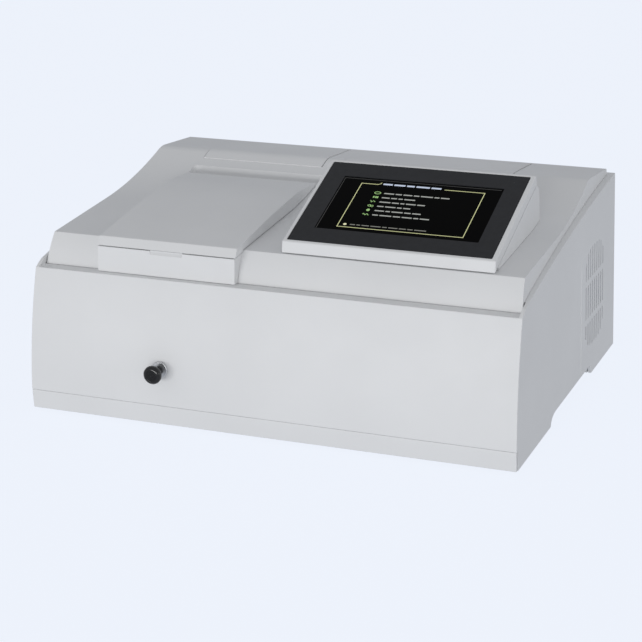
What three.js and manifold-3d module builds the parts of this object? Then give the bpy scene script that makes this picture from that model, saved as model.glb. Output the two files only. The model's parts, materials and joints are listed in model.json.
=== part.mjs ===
// Bench-top visible-light spectrophotometer with a tilted touch display.
// Millimetres, +X to the right, +Y to the back, +Z up. Every piece is drawn in the housing's
// own frame: x = 0 on the centre plane, y = 0 at the front bottom edge, z = 0 at the underside
// of the housing. The whole assembly is then moved so that its origin is at the middle of its
// overall outline, at bench level.
import * as THREE from 'three';
import { mergeVertices } from 'three/addons/utils/BufferGeometryUtils.js';
import Module from 'manifold-3d';

const wasm = await Module();
wasm.setup();

// ---------------------------------------------------------------- driving dimensions

const WIDTH = 470;
const DEPTH = 345;
const HALF = WIDTH / 2;
const WALL = 3;
const GAP = 0.3;
const FAR = 400; // longer than anything it has to cut through

const FOOT_HEIGHT = 3;
const FOOT_RADIUS = 11;
const KNOB_REACH = 18; // knob face in front of the front bottom edge

const SIDE_DRAFT = 0.018; // moulding draft of the side walls, mm per mm of height
const REAR_DRAFT = 0.006; // the rear wall stands nearly upright
const TRAY_SEAM = 18.5; // top of the base tray's front strip
const ARCH_HEIGHT = 9.4; // hand space under the middle of each side
const LEDGE_HEIGHT = 132.5; // shelf between front panel and top cover
const PANEL_TOP_Y = 17.6; // front panel leans back to here
const SEAM_START = new THREE.Vector2(27, 137.6);
const SEAM_END = new THREE.Vector2(340, 177);
const SEAM_RISE = 5; // how far the seam bows above its chord

const COVER_INSET = 6.4; // cover side wall inside the widest line, at the ledge
const COVER_DRAFT = 0.0837;
const COVER_FRONT = new THREE.Vector2(45.6, 159.2); // front top edge of the cover
const COVER_SLOPE = Math.tan(THREE.MathUtils.degToRad(3.07));
const SWEEP_START = 150; // the cover's top turns upwards here
const SWEEP_RADIUS = 396;
const CREST_START = 262;
const CREST_END = 276;
const CREST_PEAK = 188.98; // the crest's curve is pulled towards this height
const COVER_REAR = new THREE.Vector2(337.5, 182.25);
const DECK_SLOPE = -0.0982;

const LID_LEFT = -171.7;
const LID_RIGHT = -34.2;
const LID_SHELL = 2.5;
const HINGE_Y = 222.5;
const HINGE_Z = 173.8;
const HINGE_STATIONS = [-150, -56];

const DISPLAY_LEFT = 1.7;
const DISPLAY_RIGHT = 199.6;
const DISPLAY_LOW = new THREE.Vector2(49, 170.3); // front edge of the glass plane, as y, z
const DISPLAY_HIGH = new THREE.Vector2(173, 214.7);
const DISPLAY_TILT = Math.atan2(DISPLAY_HIGH.y - DISPLAY_LOW.y, DISPLAY_HIGH.x - DISPLAY_LOW.x);

const BEAM_Y = 131;
const BEAM_Z = 66;
const ROD_X = -101;
const ROD_Z = 53;
const ROD_RADIUS = 3;
const CELL_PITCH = 20;
const CELL_COUNT = 4;
const CELL_WELL = 12.8;
const RAIL_Z = 44;
const RAIL_OFFSET = 25;

const CHAMBER = { left: -165, right: -41, front: 50, rear: 206, floor: 20.3, wall: 2.5 };
const MONO = { left: -28, right: 140, front: 104, rear: 300, floor: 20.3, top: 108, wall: 4 };
const LAMP_HOUSE = { left: -148, right: -62, front: 222, rear: 302, top: 116, wall: 2 };
const BENCH_TOP = 20;
const LAMP_BEAM_Y = 262;
const GRATING_X = 20;
const GRATING_Y = 200;
const SINE_ARM = 60;
const DRIVE_X = 92;
const DRIVE_Z = 36;
const FILTER_Z = 86;
const FAN_Y = 265;
const FAN_Z = 79;
const FAN_SIZE = 80;
const PANEL_FACE = 336; // outer face of the rear panel

// ---------------------------------------------------------------- solids

function solid(geometry) {
  const bare = geometry.index ? geometry.toNonIndexed() : geometry.clone();
  bare.deleteAttribute('normal');
  bare.deleteAttribute('uv');
  const merged = mergeVertices(bare, 1e-4);
  const corners = merged.index.array;
  const kept = [];
  for (let i = 0; i < corners.length; i += 3) {
    const [a, b, c] = [corners[i], corners[i + 1], corners[i + 2]];
    if (a !== b && b !== c && c !== a) kept.push(a, b, c);
  }
  const vertProperties = new Float32Array(merged.attributes.position.array);
  return new wasm.Manifold(new wasm.Mesh({
    numProp: 3,
    vertProperties,
    triVerts: Uint32Array.from(kept),
  }));
}

function geometryOf(manifold) {
  const mesh = manifold.getMesh();
  const geometry = new THREE.BufferGeometry();
  geometry.setAttribute('position', new THREE.BufferAttribute(mesh.vertProperties, 3));
  geometry.setIndex(new THREE.BufferAttribute(mesh.triVerts, 1));
  geometry.computeVertexNormals();
  return geometry;
}

function box(x0, x1, y0, y1, z0, z1) {
  const block = new THREE.BoxGeometry(x1 - x0, y1 - y0, z1 - z0);
  block.translate((x0 + x1) / 2, (y0 + y1) / 2, (z0 + z1) / 2);
  return solid(block);
}

function shapeOf(points) {
  return points instanceof THREE.Shape ? points : new THREE.Shape(points);
}

function extrude(points, depth, curveSegments) {
  return new THREE.ExtrudeGeometry(shapeOf(points), { depth, bevelEnabled: false, curveSegments });
}

// Outline in y, z carried along x.
function prismX(points, x0, x1, curveSegments = 8) {
  const geometry = extrude(points, x1 - x0, curveSegments);
  const turn = new THREE.Matrix4().makeBasis(
    new THREE.Vector3(0, 1, 0),
    new THREE.Vector3(0, 0, 1),
    new THREE.Vector3(1, 0, 0),
  );
  geometry.applyMatrix4(turn);
  geometry.translate(x0, 0, 0);
  return solid(geometry);
}

// Outline in x, z carried along y.
function prismY(points, y0, y1) {
  const geometry = extrude(points, y1 - y0, 8);
  geometry.rotateX(Math.PI / 2);
  geometry.translate(0, y1, 0);
  return solid(geometry);
}

// Outline in x, y carried along z.
function prismZ(points, z0, z1) {
  const geometry = extrude(points, z1 - z0, 8);
  geometry.translate(0, 0, z0);
  return solid(geometry);
}

// Profile of [radius, height] pairs, rising along the axis, turned about that axis.
function turned(profile, axis, centre, segments = 24) {
  const points = profile.map(([radius, height]) => new THREE.Vector2(radius, height));
  const geometry = new THREE.LatheGeometry(points, segments);
  if (axis === 'x') geometry.rotateZ(-Math.PI / 2);
  if (axis === 'z') geometry.rotateX(Math.PI / 2);
  geometry.translate(...centre);
  return solid(geometry);
}

function rod(radius, axis, centre, from, to, segments = 20) {
  return turned([[0, from], [radius, from], [radius, to], [0, to]], axis, centre, segments);
}

function joined(pieces) {
  return pieces.reduce((whole, piece) => whole.add(piece));
}

function without(whole, tools) {
  return tools.reduce((rest, tool) => rest.subtract(tool), whole);
}

const point = (a, b) => new THREE.Vector2(a, b);

const range = (count, make) => Array.from({ length: count }, (_, i) => make(i));

function mesh(name, manifold, material) {
  const piece = new THREE.Mesh(geometryOf(manifold), material);
  piece.name = name;
  return piece;
}

// ---------------------------------------------------------------- materials

function material(color, roughness, metalness = 0) {
  return new THREE.MeshStandardMaterial({ color, roughness, metalness });
}

const casePlastic = () => material(0xd9dadb, 0.55);
const blackPlastic = () => material(0x1a1a1c, 0.45);
const rubber = () => material(0x1c1c1c, 0.9);
const steel = () => material(0xb4b6b8, 0.35, 1);
const aluminium = () => material(0xc4c6c8, 0.45, 1);
const castMetal = () => material(0x8b8f92, 0.6, 1);
const blackAnodised = () => material(0x202124, 0.6, 0.6);
const mirrorFace = () => material(0xe8ecef, 0.05, 1);
const brass = () => material(0xc9a650, 0.35, 1);
const clearGlass = () => material(0xdfe8ea, 0.05);
const darkGlass = () => material(0x141416, 0.1);
const boardGreen = () => material(0x1f5a35, 0.6);
const ceramic = () => material(0xe8e2d4, 0.7);

// ---------------------------------------------------------------- shared surfaces

// Height of the seam between housing and cover along the side walls.
function seamHeight(y) {
  const t = (y - SEAM_START.x) / (SEAM_END.x - SEAM_START.x);
  return SEAM_START.y + (SEAM_END.y - SEAM_START.y) * t + 4 * SEAM_RISE * t * (1 - t);
}

const deckHeight = (y) => COVER_REAR.y + DECK_SLOPE * (y - COVER_REAR.x);

function sweepHeight(y) {
  const run = Math.max(0, y - SWEEP_START);
  return COVER_FRONT.y + COVER_SLOPE * (y - COVER_FRONT.x) + (run * run) / (2 * SWEEP_RADIUS);
}

// Height of the cover's top surface: a gentle slope, an upward sweep, a rounded crest, a deck.
function coverHeight(y) {
  if (y <= CREST_START) return sweepHeight(y);
  if (y >= CREST_END) return deckHeight(y);
  const t = (y - CREST_START) / (CREST_END - CREST_START);
  const start = sweepHeight(CREST_START);
  const end = deckHeight(CREST_END);
  return start * (1 - t) ** 2 + 2 * CREST_PEAK * t * (1 - t) + end * t ** 2;
}

// Points along the cover's top from y0 to y1, raised or lowered by an offset.
function coverLine(y0, y1, offset) {
  const knots = [SWEEP_START, 165, 182, 200, 218, 236, 250, CREST_START, 265, 269, 272, CREST_END];
  const inside = knots.filter((y) => y > y0 + 1 && y < y1 - 1);
  return [y0, ...inside, y1].map((y) => point(y, coverHeight(y) + offset));
}

// A sheet lying along the cover's top, between two offsets from it.
function coverSheet(x0, x1, y0, y1, lower, upper) {
  return prismX([...coverLine(y0, y1, lower), ...coverLine(y0, y1, upper).reverse()], x0, x1);
}

// Both side walls lean in with height: the space between them, from z0 to z1.
function between(insetAt, z0, z1) {
  const low = HALF - insetAt(z0);
  const high = HALF - insetAt(z1);
  return prismY([point(-low, z0), point(low, z0), point(high, z1), point(-high, z1)], -50, FAR);
}

const housingInset = (extra) => (z) => extra + SIDE_DRAFT * z;
const coverInset = (extra) => (z) => COVER_INSET + extra + COVER_DRAFT * (z - LEDGE_HEIGHT);

// ---------------------------------------------------------------- base

const FRONT_FOOT_END = 108;
const ARCH_START = 127;
const ARCH_END = 252;
const REAR_FOOT_START = 255;
const TRAY_HALF = HALF - WALL - 1;
const TRAY_SKIN = 2.5;

function baseTray() {
  const profile = new THREE.Shape();
  const top = TRAY_SEAM - GAP;
  profile.moveTo(0, 0);
  profile.lineTo(FRONT_FOOT_END, 0);
  profile.quadraticCurveTo(FRONT_FOOT_END + 3, ARCH_HEIGHT, ARCH_START, ARCH_HEIGHT);
  profile.lineTo(ARCH_END, ARCH_HEIGHT);
  profile.lineTo(REAR_FOOT_START, 0);
  profile.lineTo(DEPTH, 0);
  profile.lineTo(DEPTH - REAR_DRAFT * top, top);
  profile.lineTo(DEPTH - WALL, top);
  profile.lineTo(DEPTH - WALL, TRAY_SKIN);
  profile.lineTo(REAR_FOOT_START + TRAY_SKIN, TRAY_SKIN);
  profile.lineTo(ARCH_END + TRAY_SKIN, ARCH_HEIGHT + TRAY_SKIN);
  profile.lineTo(ARCH_START, ARCH_HEIGHT + TRAY_SKIN);
  profile.quadraticCurveTo(FRONT_FOOT_END, ARCH_HEIGHT + TRAY_SKIN, FRONT_FOOT_END - 3, TRAY_SKIN);
  profile.lineTo(WALL, TRAY_SKIN);
  profile.lineTo(WALL, top);
  profile.lineTo(-0.9, top);
  profile.lineTo(-1, 15);
  const sheet = prismX(profile, -TRAY_HALF, TRAY_HALF, 6);
  const holes = footPlaces().map(([x, y]) => rod(3.3, 'z', [x, y, 0], -1, 5, 16));
  return mesh('base_tray', without(sheet, holes), casePlastic());
}

function footPlaces() {
  const places = [];
  for (const x of [-200, 200]) {
    for (const y of [40, 300]) places.push([x, y]);
  }
  return places;
}

function rubberFeet() {
  const profile = [
    [0, -FOOT_HEIGHT], [FOOT_RADIUS - 1, -FOOT_HEIGHT], [FOOT_RADIUS, 1 - FOOT_HEIGHT],
    [FOOT_RADIUS, 0], [3, 0], [3, 5], [0, 5],
  ];
  const names = ['foot_front_left', 'foot_rear_left', 'foot_front_right', 'foot_rear_right'];
  return footPlaces().map(([x, y], i) => mesh(names[i], turned(profile, 'z', [x, y, 0], 16), rubber()));
}

// ---------------------------------------------------------------- housing

// Side outline of the housing, or of the space inside it when inset is the wall thickness.
function housingOutline(inset) {
  const outline = new THREE.Shape();
  const rear = DEPTH - inset;
  if (inset === 0) {
    outline.moveTo(0, 0);
    outline.lineTo(FRONT_FOOT_END, 0);
    outline.quadraticCurveTo(FRONT_FOOT_END + 3, ARCH_HEIGHT, ARCH_START, ARCH_HEIGHT);
    outline.lineTo(ARCH_END, ARCH_HEIGHT);
    outline.lineTo(REAR_FOOT_START, 0);
    outline.lineTo(rear, 0);
  } else {
    outline.moveTo(inset, -10);
    outline.lineTo(rear, -10);
    outline.lineTo(rear, 0);
  }
  const rearTop = rear - REAR_DRAFT * SEAM_END.y;
  outline.lineTo(rearTop, seamHeight(rearTop) - inset);
  for (const y of [290, 240, 190, 140, 90, 50]) outline.lineTo(y, seamHeight(y) - inset);
  outline.lineTo(SEAM_START.x + inset, seamHeight(SEAM_START.x + inset) - inset - (inset ? 5 : 0));
  outline.lineTo(PANEL_TOP_Y + inset, LEDGE_HEIGHT - inset);
  // the front panel bulges gently forwards
  outline.quadraticCurveTo(0.4 + inset, 74, -1 + inset, 15);
  if (inset === 0) outline.lineTo(0, 0);
  return outline;
}

const VENT_SLOTS = 9;
const VENT_PITCH = 8;
const VENT_SLOT_WIDTH = 4;
const VENT_RIBS = [58, 96];

// Upright slots of an oval vent field, broken by two ribs.
function ventSlots() {
  const slots = [];
  for (let i = 0; i < VENT_SLOTS; i += 1) {
    const offset = (i - (VENT_SLOTS - 1) / 2) * VENT_PITCH;
    const reach = 49 * Math.sqrt(1 - (offset / 40) ** 4);
    const stops = [FAN_Z - reach, VENT_RIBS[0] - 2.5, VENT_RIBS[0] + 2.5];
    stops.push(VENT_RIBS[1] - 2.5, VENT_RIBS[1] + 2.5, FAN_Z + reach);
    const y = FAN_Y + offset - VENT_SLOT_WIDTH / 2;
    for (let k = 0; k < stops.length; k += 2) {
      slots.push(box(HALF - 15, HALF + 5, y, y + VENT_SLOT_WIDTH, stops[k], stops[k + 1]));
    }
  }
  return slots;
}

const COVER_OPENING_HALF = HALF - 12;

function lowerHousing() {
  // the outlines run past the walls, which the drafted planes then cut back
  const outside = prismX(housingOutline(0), -HALF - 5, HALF + 5)
    .intersect(between(housingInset(0), -20, 250));
  const inside = prismX(housingOutline(WALL), -HALF - 5, HALF + 5)
    .intersect(between(housingInset(WALL), -20, 250));
  const ledgeHalf = HALF - SIDE_DRAFT * LEDGE_HEIGHT - 3.3;
  const tools = [
    inside,
    box(-COVER_OPENING_HALF, COVER_OPENING_HALF, 35, 334, 100, 250),
    box(-ledgeHalf, ledgeHalf, 10, 40, LEDGE_HEIGHT, 200),
    box(-TRAY_HALF - 0.6, TRAY_HALF + 0.6, -5, 20, -5, TRAY_SEAM),
    box(-TRAY_HALF - 0.6, TRAY_HALF + 0.6, 325, DEPTH + 5, -5, TRAY_SEAM),
    box(-205, 205, 325, DEPTH + 5, 25, 150),
    rod(4.9, 'y', [ROD_X, 0, ROD_Z], -10, 20),
    ...ventSlots(),
  ];
  return mesh('lower_housing', without(outside, tools), casePlastic());
}

// ---------------------------------------------------------------- top cover

const CHAMBER_MOUTH = { left: -158, right: -48, front: 54, rear: 202 };
const RECESS = { left: -172.6, right: -33.3, front: 211, floor: 170.8, toe: 234.5, brow: 239.3 };
const HATCHES = {
  lamp_hatch: { left: -169, right: -41.5 },
  optics_hatch: { left: -22, right: 150 },
};
const HATCH_FRONT = 253.2;
const HATCH_REAR = 333;
const HATCH_SKIN = 2.5;
const CABLE_SLOT = { left: 88, right: 114, front: 116, rear: 126 };

function coverOutline(inset) {
  const outline = new THREE.Shape();
  outline.moveTo(31.3 + inset, inset ? 100 : LEDGE_HEIGHT + GAP);
  if (inset) outline.lineTo(31.3 + inset, LEDGE_HEIGHT + GAP);
  outline.quadraticCurveTo(36.5 + inset, 147.5, COVER_FRONT.x + inset, coverHeight(COVER_FRONT.x) - inset);
  for (const p of coverLine(COVER_FRONT.x + inset, COVER_REAR.x - inset, -inset)) outline.lineTo(p.x, p.y);
  outline.lineTo(COVER_REAR.x + 0.3 - inset, inset ? 100 : seamHeight(COVER_REAR.x) + GAP);
  if (inset) return outline;
  for (const y of [290, 240, 190, 140, 90, 50, 35]) outline.lineTo(y, seamHeight(y) + GAP);
  outline.lineTo(35, LEDGE_HEIGHT + GAP);
  return outline;
}

function coverOutside() {
  return prismX(coverOutline(0), -HALF, HALF).intersect(between(coverInset(0), 100, 250));
}

// The hollow behind the lid that lets its rear edge swing down.
function recessPocket(grow) {
  const outline = [
    point(RECESS.front - grow, RECESS.floor - grow),
    point(RECESS.toe + grow * 0.5, RECESS.floor - grow),
    point(RECESS.brow + grow, coverHeight(RECESS.brow) + (grow ? -0.5 : 0)),
    point(RECESS.brow + grow * 0.9, coverHeight(RECESS.brow) + (grow ? -0.5 : 20)),
    point(RECESS.front - grow, grow ? coverHeight(RECESS.front) - 0.5 : 200),
  ];
  return prismX(outline, RECESS.left - grow, RECESS.right + grow);
}

function hingeEars() {
  const ears = [];
  for (const x of HINGE_STATIONS) {
    for (const side of [-5.4, 5.4]) {
      const ear = rod(2.5, 'x', [x + side, HINGE_Y, HINGE_Z], -1.5, 1.5)
        .add(box(x + side - 1.5, x + side + 1.5, HINGE_Y - 2.5, HINGE_Y + 2.5, RECESS.floor - 1, HINGE_Z));
      ears.push(ear);
    }
  }
  return ears;
}

function topCover() {
  const inside = prismX(coverOutline(WALL), -HALF, HALF).intersect(between(coverInset(WALL), 90, 250));
  let cover = coverOutside().subtract(inside).add(recessPocket(WALL));
  const cuts = [recessPocket(0)];
  for (const hatch of Object.values(HATCHES)) {
    // a flange under each hatch carries it
    cover = cover.add(coverSheet(hatch.left - 4, hatch.right + 4, HATCH_FRONT - 4, HATCH_REAR, -5.5, -2));
    cuts.push(coverSheet(hatch.left - 0.4, hatch.right + 0.4, HATCH_FRONT - 0.4, HATCH_REAR + 0.4, -2.8, 20));
    cuts.push(coverSheet(hatch.left + 4, hatch.right - 4, HATCH_FRONT + 4, HATCH_REAR - 6, -20, 20));
  }
  const mouth = CHAMBER_MOUTH;
  cuts.push(box(mouth.left, mouth.right, mouth.front, mouth.rear, 100, 250));
  cuts.push(box(CABLE_SLOT.left, CABLE_SLOT.right, CABLE_SLOT.front, CABLE_SLOT.rear, 100, 250));
  cover = joined([without(cover, cuts), ...hingeEars()]);
  const pinBore = rod(1.3, 'x', [0, HINGE_Y, HINGE_Z], -190, -20, 16);
  return mesh('top_cover', cover.subtract(pinBore), casePlastic());
}

function rearHatches() {
  return Object.entries(HATCHES).map(([name, hatch]) => {
    const plate = coverSheet(hatch.left, hatch.right, HATCH_FRONT, HATCH_REAR, -HATCH_SKIN, 0);
    return mesh(name, plate, casePlastic());
  });
}

// ---------------------------------------------------------------- sample lid and its surround

const FASCIA_TOP = 156;
const NOTCH_CENTRE = -102.5;
const NOTCH_HALF = 16.5;

function compartmentFascia() {
  const outline = [
    point(24.6, LEDGE_HEIGHT + GAP), point(33, LEDGE_HEIGHT + GAP), point(33, 140),
    point(46, 157.2), point(26, FASCIA_TOP),
  ];
  const block = prismX(outline, LID_LEFT + 0.5, LID_RIGHT - 0.5);
  const hollow = [point(28.6, 135.8), point(60, 135.8), point(60, 153.8), point(30.8, 153.8)];
  const tools = [
    coverOutside().translate([0, -GAP, 0]),
    prismX(hollow, LID_LEFT + 3, LID_RIGHT - 3),
    box(NOTCH_CENTRE - NOTCH_HALF, NOTCH_CENTRE + NOTCH_HALF, 20, 28.2, 152.3, 170),
  ];
  return mesh('compartment_fascia', without(block, tools), casePlastic());
}

const LID_CROWN = new THREE.SplineCurve([
  point(32, 164.5), point(80, 170.6), point(130, 176), point(180, 179.3), point(219.5, 176.8),
]);

function lidOutline() {
  const outline = new THREE.Shape();
  outline.moveTo(26.4, 156.8);
  outline.lineTo(43, 158.2);
  outline.lineTo(COVER_FRONT.x, coverHeight(COVER_FRONT.x) + 0.8);
  for (const p of coverLine(SWEEP_START, 212, 0.8)) outline.lineTo(p.x, p.y);
  outline.lineTo(213.8, 172.5);
  outline.lineTo(219.5, 172.5);
  for (const p of LID_CROWN.getPoints(16).reverse()) outline.lineTo(p.x, p.y);
  outline.quadraticCurveTo(31.4, 164.4, 31, 163.6);
  return outline;
}

function lidHollow() {
  const crown = LID_CROWN.getPoints(8).filter((p) => p.x < 216).map((p) => point(p.x, p.y - LID_SHELL));
  const outline = [point(29.4, 140), point(217, 140), point(217, 174.3)];
  outline.push(...crown.reverse().filter((p) => p.x > 36), point(34, 161.8), point(29.4, 156));
  return prismX(outline, LID_LEFT + LID_SHELL, LID_RIGHT - LID_SHELL);
}

function lidKnuckles() {
  return HINGE_STATIONS.map((x) => {
    const arm = box(x - 3.5, x + 3.5, 217.5, HINGE_Y, 172.5, 174.8);
    return rod(2.5, 'x', [x, HINGE_Y, HINGE_Z], -3.5, 3.5).add(arm);
  });
}

function sampleLid() {
  const shell = prismX(lidOutline(), LID_LEFT, LID_RIGHT).subtract(lidHollow());
  const pinBore = rod(1.3, 'x', [0, HINGE_Y, HINGE_Z], -190, -20, 16);
  return mesh('sample_lid', joined([shell, ...lidKnuckles()]).subtract(pinBore), casePlastic());
}

function hingePins() {
  return HINGE_STATIONS.map((x, i) => {
    const pin = rod(1, 'x', [x, HINGE_Y, HINGE_Z], -7, 7, 12);
    return mesh(['lid_hinge_pin_left', 'lid_hinge_pin_right'][i], pin, steel());
  });
}

function lidSeal() {
  const ring = coverSheet(-163, -43, 49, 207, GAP, 2.4)
    .subtract(coverSheet(-159, -47, 53, 203, -5, 10));
  return mesh('lid_seal', ring, rubber());
}

// ---------------------------------------------------------------- display

// Moves a shape drawn flat (x, distance up the glass, height above the glass) onto the tilt.
function tilted(geometry) {
  geometry.rotateX(DISPLAY_TILT);
  geometry.translate(0, DISPLAY_LOW.x, DISPLAY_LOW.y);
  return solid(geometry);
}

function tiltedBox(x0, x1, v0, v1, w0, w1) {
  const block = new THREE.BoxGeometry(x1 - x0, v1 - v0, w1 - w0);
  block.translate((x0 + x1) / 2, (v0 + v1) / 2, (w0 + w1) / 2);
  return tilted(block);
}

const GLASS = { left: 5.4, right: 195, low: 3.2, high: 128.5, thickness: 1.8 };
const LCD = { left: 20, right: 184, low: 15, high: 108, thickness: 6 };
const BEZEL_LIP = point(54.5, 162.6); // front end of the parting line
const BEZEL_HEEL = point(176.3, 205.6); // rear end of the parting line

function displayBezel() {
  const outline = [point(47.2, 159.7), BEZEL_LIP, BEZEL_HEEL, DISPLAY_HIGH, DISPLAY_LOW];
  const block = prismX(outline, DISPLAY_LEFT, DISPLAY_RIGHT);
  const tools = [
    tiltedBox(GLASS.left - GAP, GLASS.right + GAP, GLASS.low - GAP, GLASS.high + GAP, -2.1, 10),
    tiltedBox(16, 188, 11, 118, -40, 10),
  ];
  return mesh('display_bezel', without(block, tools), casePlastic());
}

function displayGlass() {
  const { left, right, low, high, thickness } = GLASS;
  return mesh('display_glass', tiltedBox(left, right, low, high, -thickness, 0), darkGlass());
}

function lcdPanel() {
  const top = -GLASS.thickness - GAP - 0.1;
  const slab = tiltedBox(LCD.left, LCD.right, LCD.low, LCD.high, top - LCD.thickness, top);
  return mesh('lcd_panel', slab, blackPlastic());
}

function displayRearShell() {
  const lower = coverLine(58, 189, GAP);
  const upper = [point(184, 201.4), point(176.6, 205.2), point(58, 163.4)];
  const block = prismX([...lower, ...upper], DISPLAY_LEFT + 0.3, DISPLAY_RIGHT - 0.3);
  const room = [
    point(70, 163.4), point(SWEEP_START, 167.8), point(184, 171.6), point(180, 200),
    point(173, 240), point(60, 190),
  ];
  const tools = [
    prismX(room, DISPLAY_LEFT + 2.8, DISPLAY_RIGHT - 2.8),
    prismX([BEZEL_LIP, BEZEL_HEEL, point(173, 240), point(40, 240)], -HALF, HALF)
      .translate([0, 0, -GAP]),
    box(CABLE_SLOT.left, CABLE_SLOT.right, CABLE_SLOT.front, CABLE_SLOT.rear, 150, 172),
  ];
  return mesh('display_rear_shell', without(block, tools), casePlastic());
}

function displayCable() {
  // down through the cover, forward over the monochromator and down to the main board
  const run = [
    point(120.4, 178), point(120.4, 145), point(99, 122), point(99, 30), point(90, 22), point(90, 15.2),
  ];
  const strip = [...run, ...run.map((p) => point(p.x + 1, p.y - 0.5)).reverse()];
  return mesh('display_ribbon_cable', prismX(strip, 91, 111), blackPlastic());
}

// ---------------------------------------------------------------- sample chamber and cell changer

function sampleChamber() {
  const c = CHAMBER;
  const lid = -WALL - GAP;
  const outer = [point(c.front, c.floor), point(c.rear, c.floor)];
  outer.push(...coverLine(c.front, c.rear, lid).reverse());
  const room = box(
    c.left + c.wall, c.right - c.wall, c.front + c.wall, c.rear - c.wall, c.floor + c.wall, 250,
  );
  const tools = [
    room,
    rod(6, 'x', [0, BEAM_Y, BEAM_Z], -180, -20),
    rod(ROD_RADIUS + 0.6, 'y', [ROD_X, 0, ROD_Z], c.front - 5, c.front + 5),
  ];
  return mesh('sample_chamber', without(prismX(outer, c.left, c.right), tools), blackAnodised());
}

function guideRails() {
  const from = CHAMBER.front + CHAMBER.wall + GAP;
  const to = CHAMBER.rear - CHAMBER.wall - GAP;
  return ['left', 'right'].map((side, i) => {
    const x = ROD_X + (i ? RAIL_OFFSET : -RAIL_OFFSET);
    return mesh(`guide_rail_${side}`, rod(3, 'y', [x, 0, RAIL_Z], from, to, 16), steel());
  });
}

const HOLDER = { half: 11, front: 121, rear: 201, bottom: 50.3, wellFloor: 53, top: 90 };
const LUG_FRONT = 114;

function cellCarriage() {
  const plate = box(ROD_X - 34, ROD_X + 34, LUG_FRONT, HOLDER.rear, 38, 50);
  const lug = box(ROD_X - 8, ROD_X + 8, LUG_FRONT, LUG_FRONT + 6, 38, 59);
  const tools = [
    rod(3.4, 'y', [ROD_X - RAIL_OFFSET, 0, RAIL_Z], 100, 220, 16),
    rod(3.4, 'y', [ROD_X + RAIL_OFFSET, 0, RAIL_Z], 100, 220, 16),
    rod(ROD_RADIUS + GAP, 'y', [ROD_X, 0, ROD_Z], 100, LUG_FRONT + 5, 16),
  ];
  return mesh('cell_carriage', without(plate.add(lug), tools), blackAnodised());
}

function cellHolder() {
  const block = box(
    ROD_X - HOLDER.half, ROD_X + HOLDER.half, HOLDER.front, HOLDER.rear, HOLDER.bottom, HOLDER.top,
  );
  const half = CELL_WELL / 2;
  const tools = [];
  for (let i = 0; i < CELL_COUNT; i += 1) {
    const y = BEAM_Y + i * CELL_PITCH;
    tools.push(box(ROD_X - half, ROD_X + half, y - half, y + half, HOLDER.wellFloor, 120));
    tools.push(rod(4, 'x', [ROD_X, y, BEAM_Z], -20, 20, 16));
  }
  return mesh('cell_holder', without(block, tools), blackAnodised());
}

function pullRod() {
  const bar = rod(ROD_RADIUS, 'y', [ROD_X, 0, ROD_Z], -10, LUG_FRONT + 4);
  return mesh('pull_rod', bar, steel());
}

function pullKnob() {
  const profile = [
    [0, -KNOB_REACH], [5.4, -KNOB_REACH], [7.8, -16.6], [8.6, -14.6], [8.6, -12.8], [7.6, -11],
    [5, -9.4], [4.4, -8.6], [4.4, -4.2], [3.6, -3.6], [3.6, -1.2], [3.3, -1.2], [3.3, -10.3],
    [0, -10.3],
  ];
  return mesh('pull_knob', turned(profile, 'y', [ROD_X, 0, ROD_Z]), blackPlastic());
}

function rodBush() {
  const bore = ROD_RADIUS + GAP;
  const profile = [
    [bore, 0], [7, 0], [7.6, 0.5], [7.6, 1.3], [4.6, 1.3], [4.6, 9], [bore, 9], [bore, 0],
  ];
  return mesh('rod_bush', turned(profile, 'y', [ROD_X, -0.6, ROD_Z]), aluminium());
}

// ---------------------------------------------------------------- optical bench, detector

function opticalBench() {
  const outline = [
    point(-226, 44), point(-36, 44), point(-36, 100), point(142, 100), point(142, 306),
    point(-226, 306),
  ];
  return mesh('optical_bench', prismZ(outline, ARCH_HEIGHT + TRAY_SKIN + GAP, BENCH_TOP), castMetal());
}

function detectorHousing() {
  const shell = box(-222, -170, 105, 157, BENCH_TOP + GAP, 92);
  const tools = [
    box(-219, -173, 108, 154, 0, 89),
    rod(6, 'x', [0, BEAM_Y, BEAM_Z], -180, -160),
  ];
  return mesh('detector_housing', without(shell, tools), aluminium());
}

function photodiode() {
  const board = box(-190, -188, 116, 146, BENCH_TOP + 0.6, 86);
  const can = rod(7, 'x', [0, BEAM_Y, BEAM_Z], -188.5, -182);
  return mesh('photodiode', board.add(can), boardGreen());
}

// ---------------------------------------------------------------- monochromator

function monochromatorCase() {
  const m = MONO;
  const shell = box(m.left, m.right, m.front, m.rear, m.floor, m.top);
  const room = box(
    m.left + m.wall, m.right - m.wall, m.front + m.wall, m.rear - m.wall, m.floor + m.wall, 200,
  );
  const screwPost = box(DRIVE_X - 7, DRIVE_X + 7, 180, 187, m.floor + 1, DRIVE_Z + 8);
  const tools = [
    rod(6, 'x', [0, BEAM_Y, BEAM_Z], m.left - 5, m.left + 8),
    rod(6, 'x', [0, LAMP_BEAM_Y, BEAM_Z], m.left - 5, m.left + 8),
    rod(5.4, 'z', [GRATING_X, GRATING_Y, 0], 0, 30),
    rod(3.4, 'y', [DRIVE_X, 0, DRIVE_Z], 170, 320, 16),
  ];
  return mesh('monochromator_case', without(shell.subtract(room).add(screwPost), tools), castMetal());
}

function monochromatorLid() {
  const m = MONO;
  const plate = box(m.left, m.right, m.front, m.rear, m.top + GAP, m.top + GAP + 3);
  return mesh('monochromator_lid', plate, aluminium());
}

function slit(name, y) {
  const right = MONO.left - GAP;
  const plate = box(right - 2.4, right, y - 12, y + 12, BEAM_Z - 12, BEAM_Z + 12);
  const opening = box(right - 5, right + 1, y - 0.6, y + 0.6, BEAM_Z - 6, BEAM_Z + 6);
  return mesh(name, plate.subtract(opening), blackAnodised());
}

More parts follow.
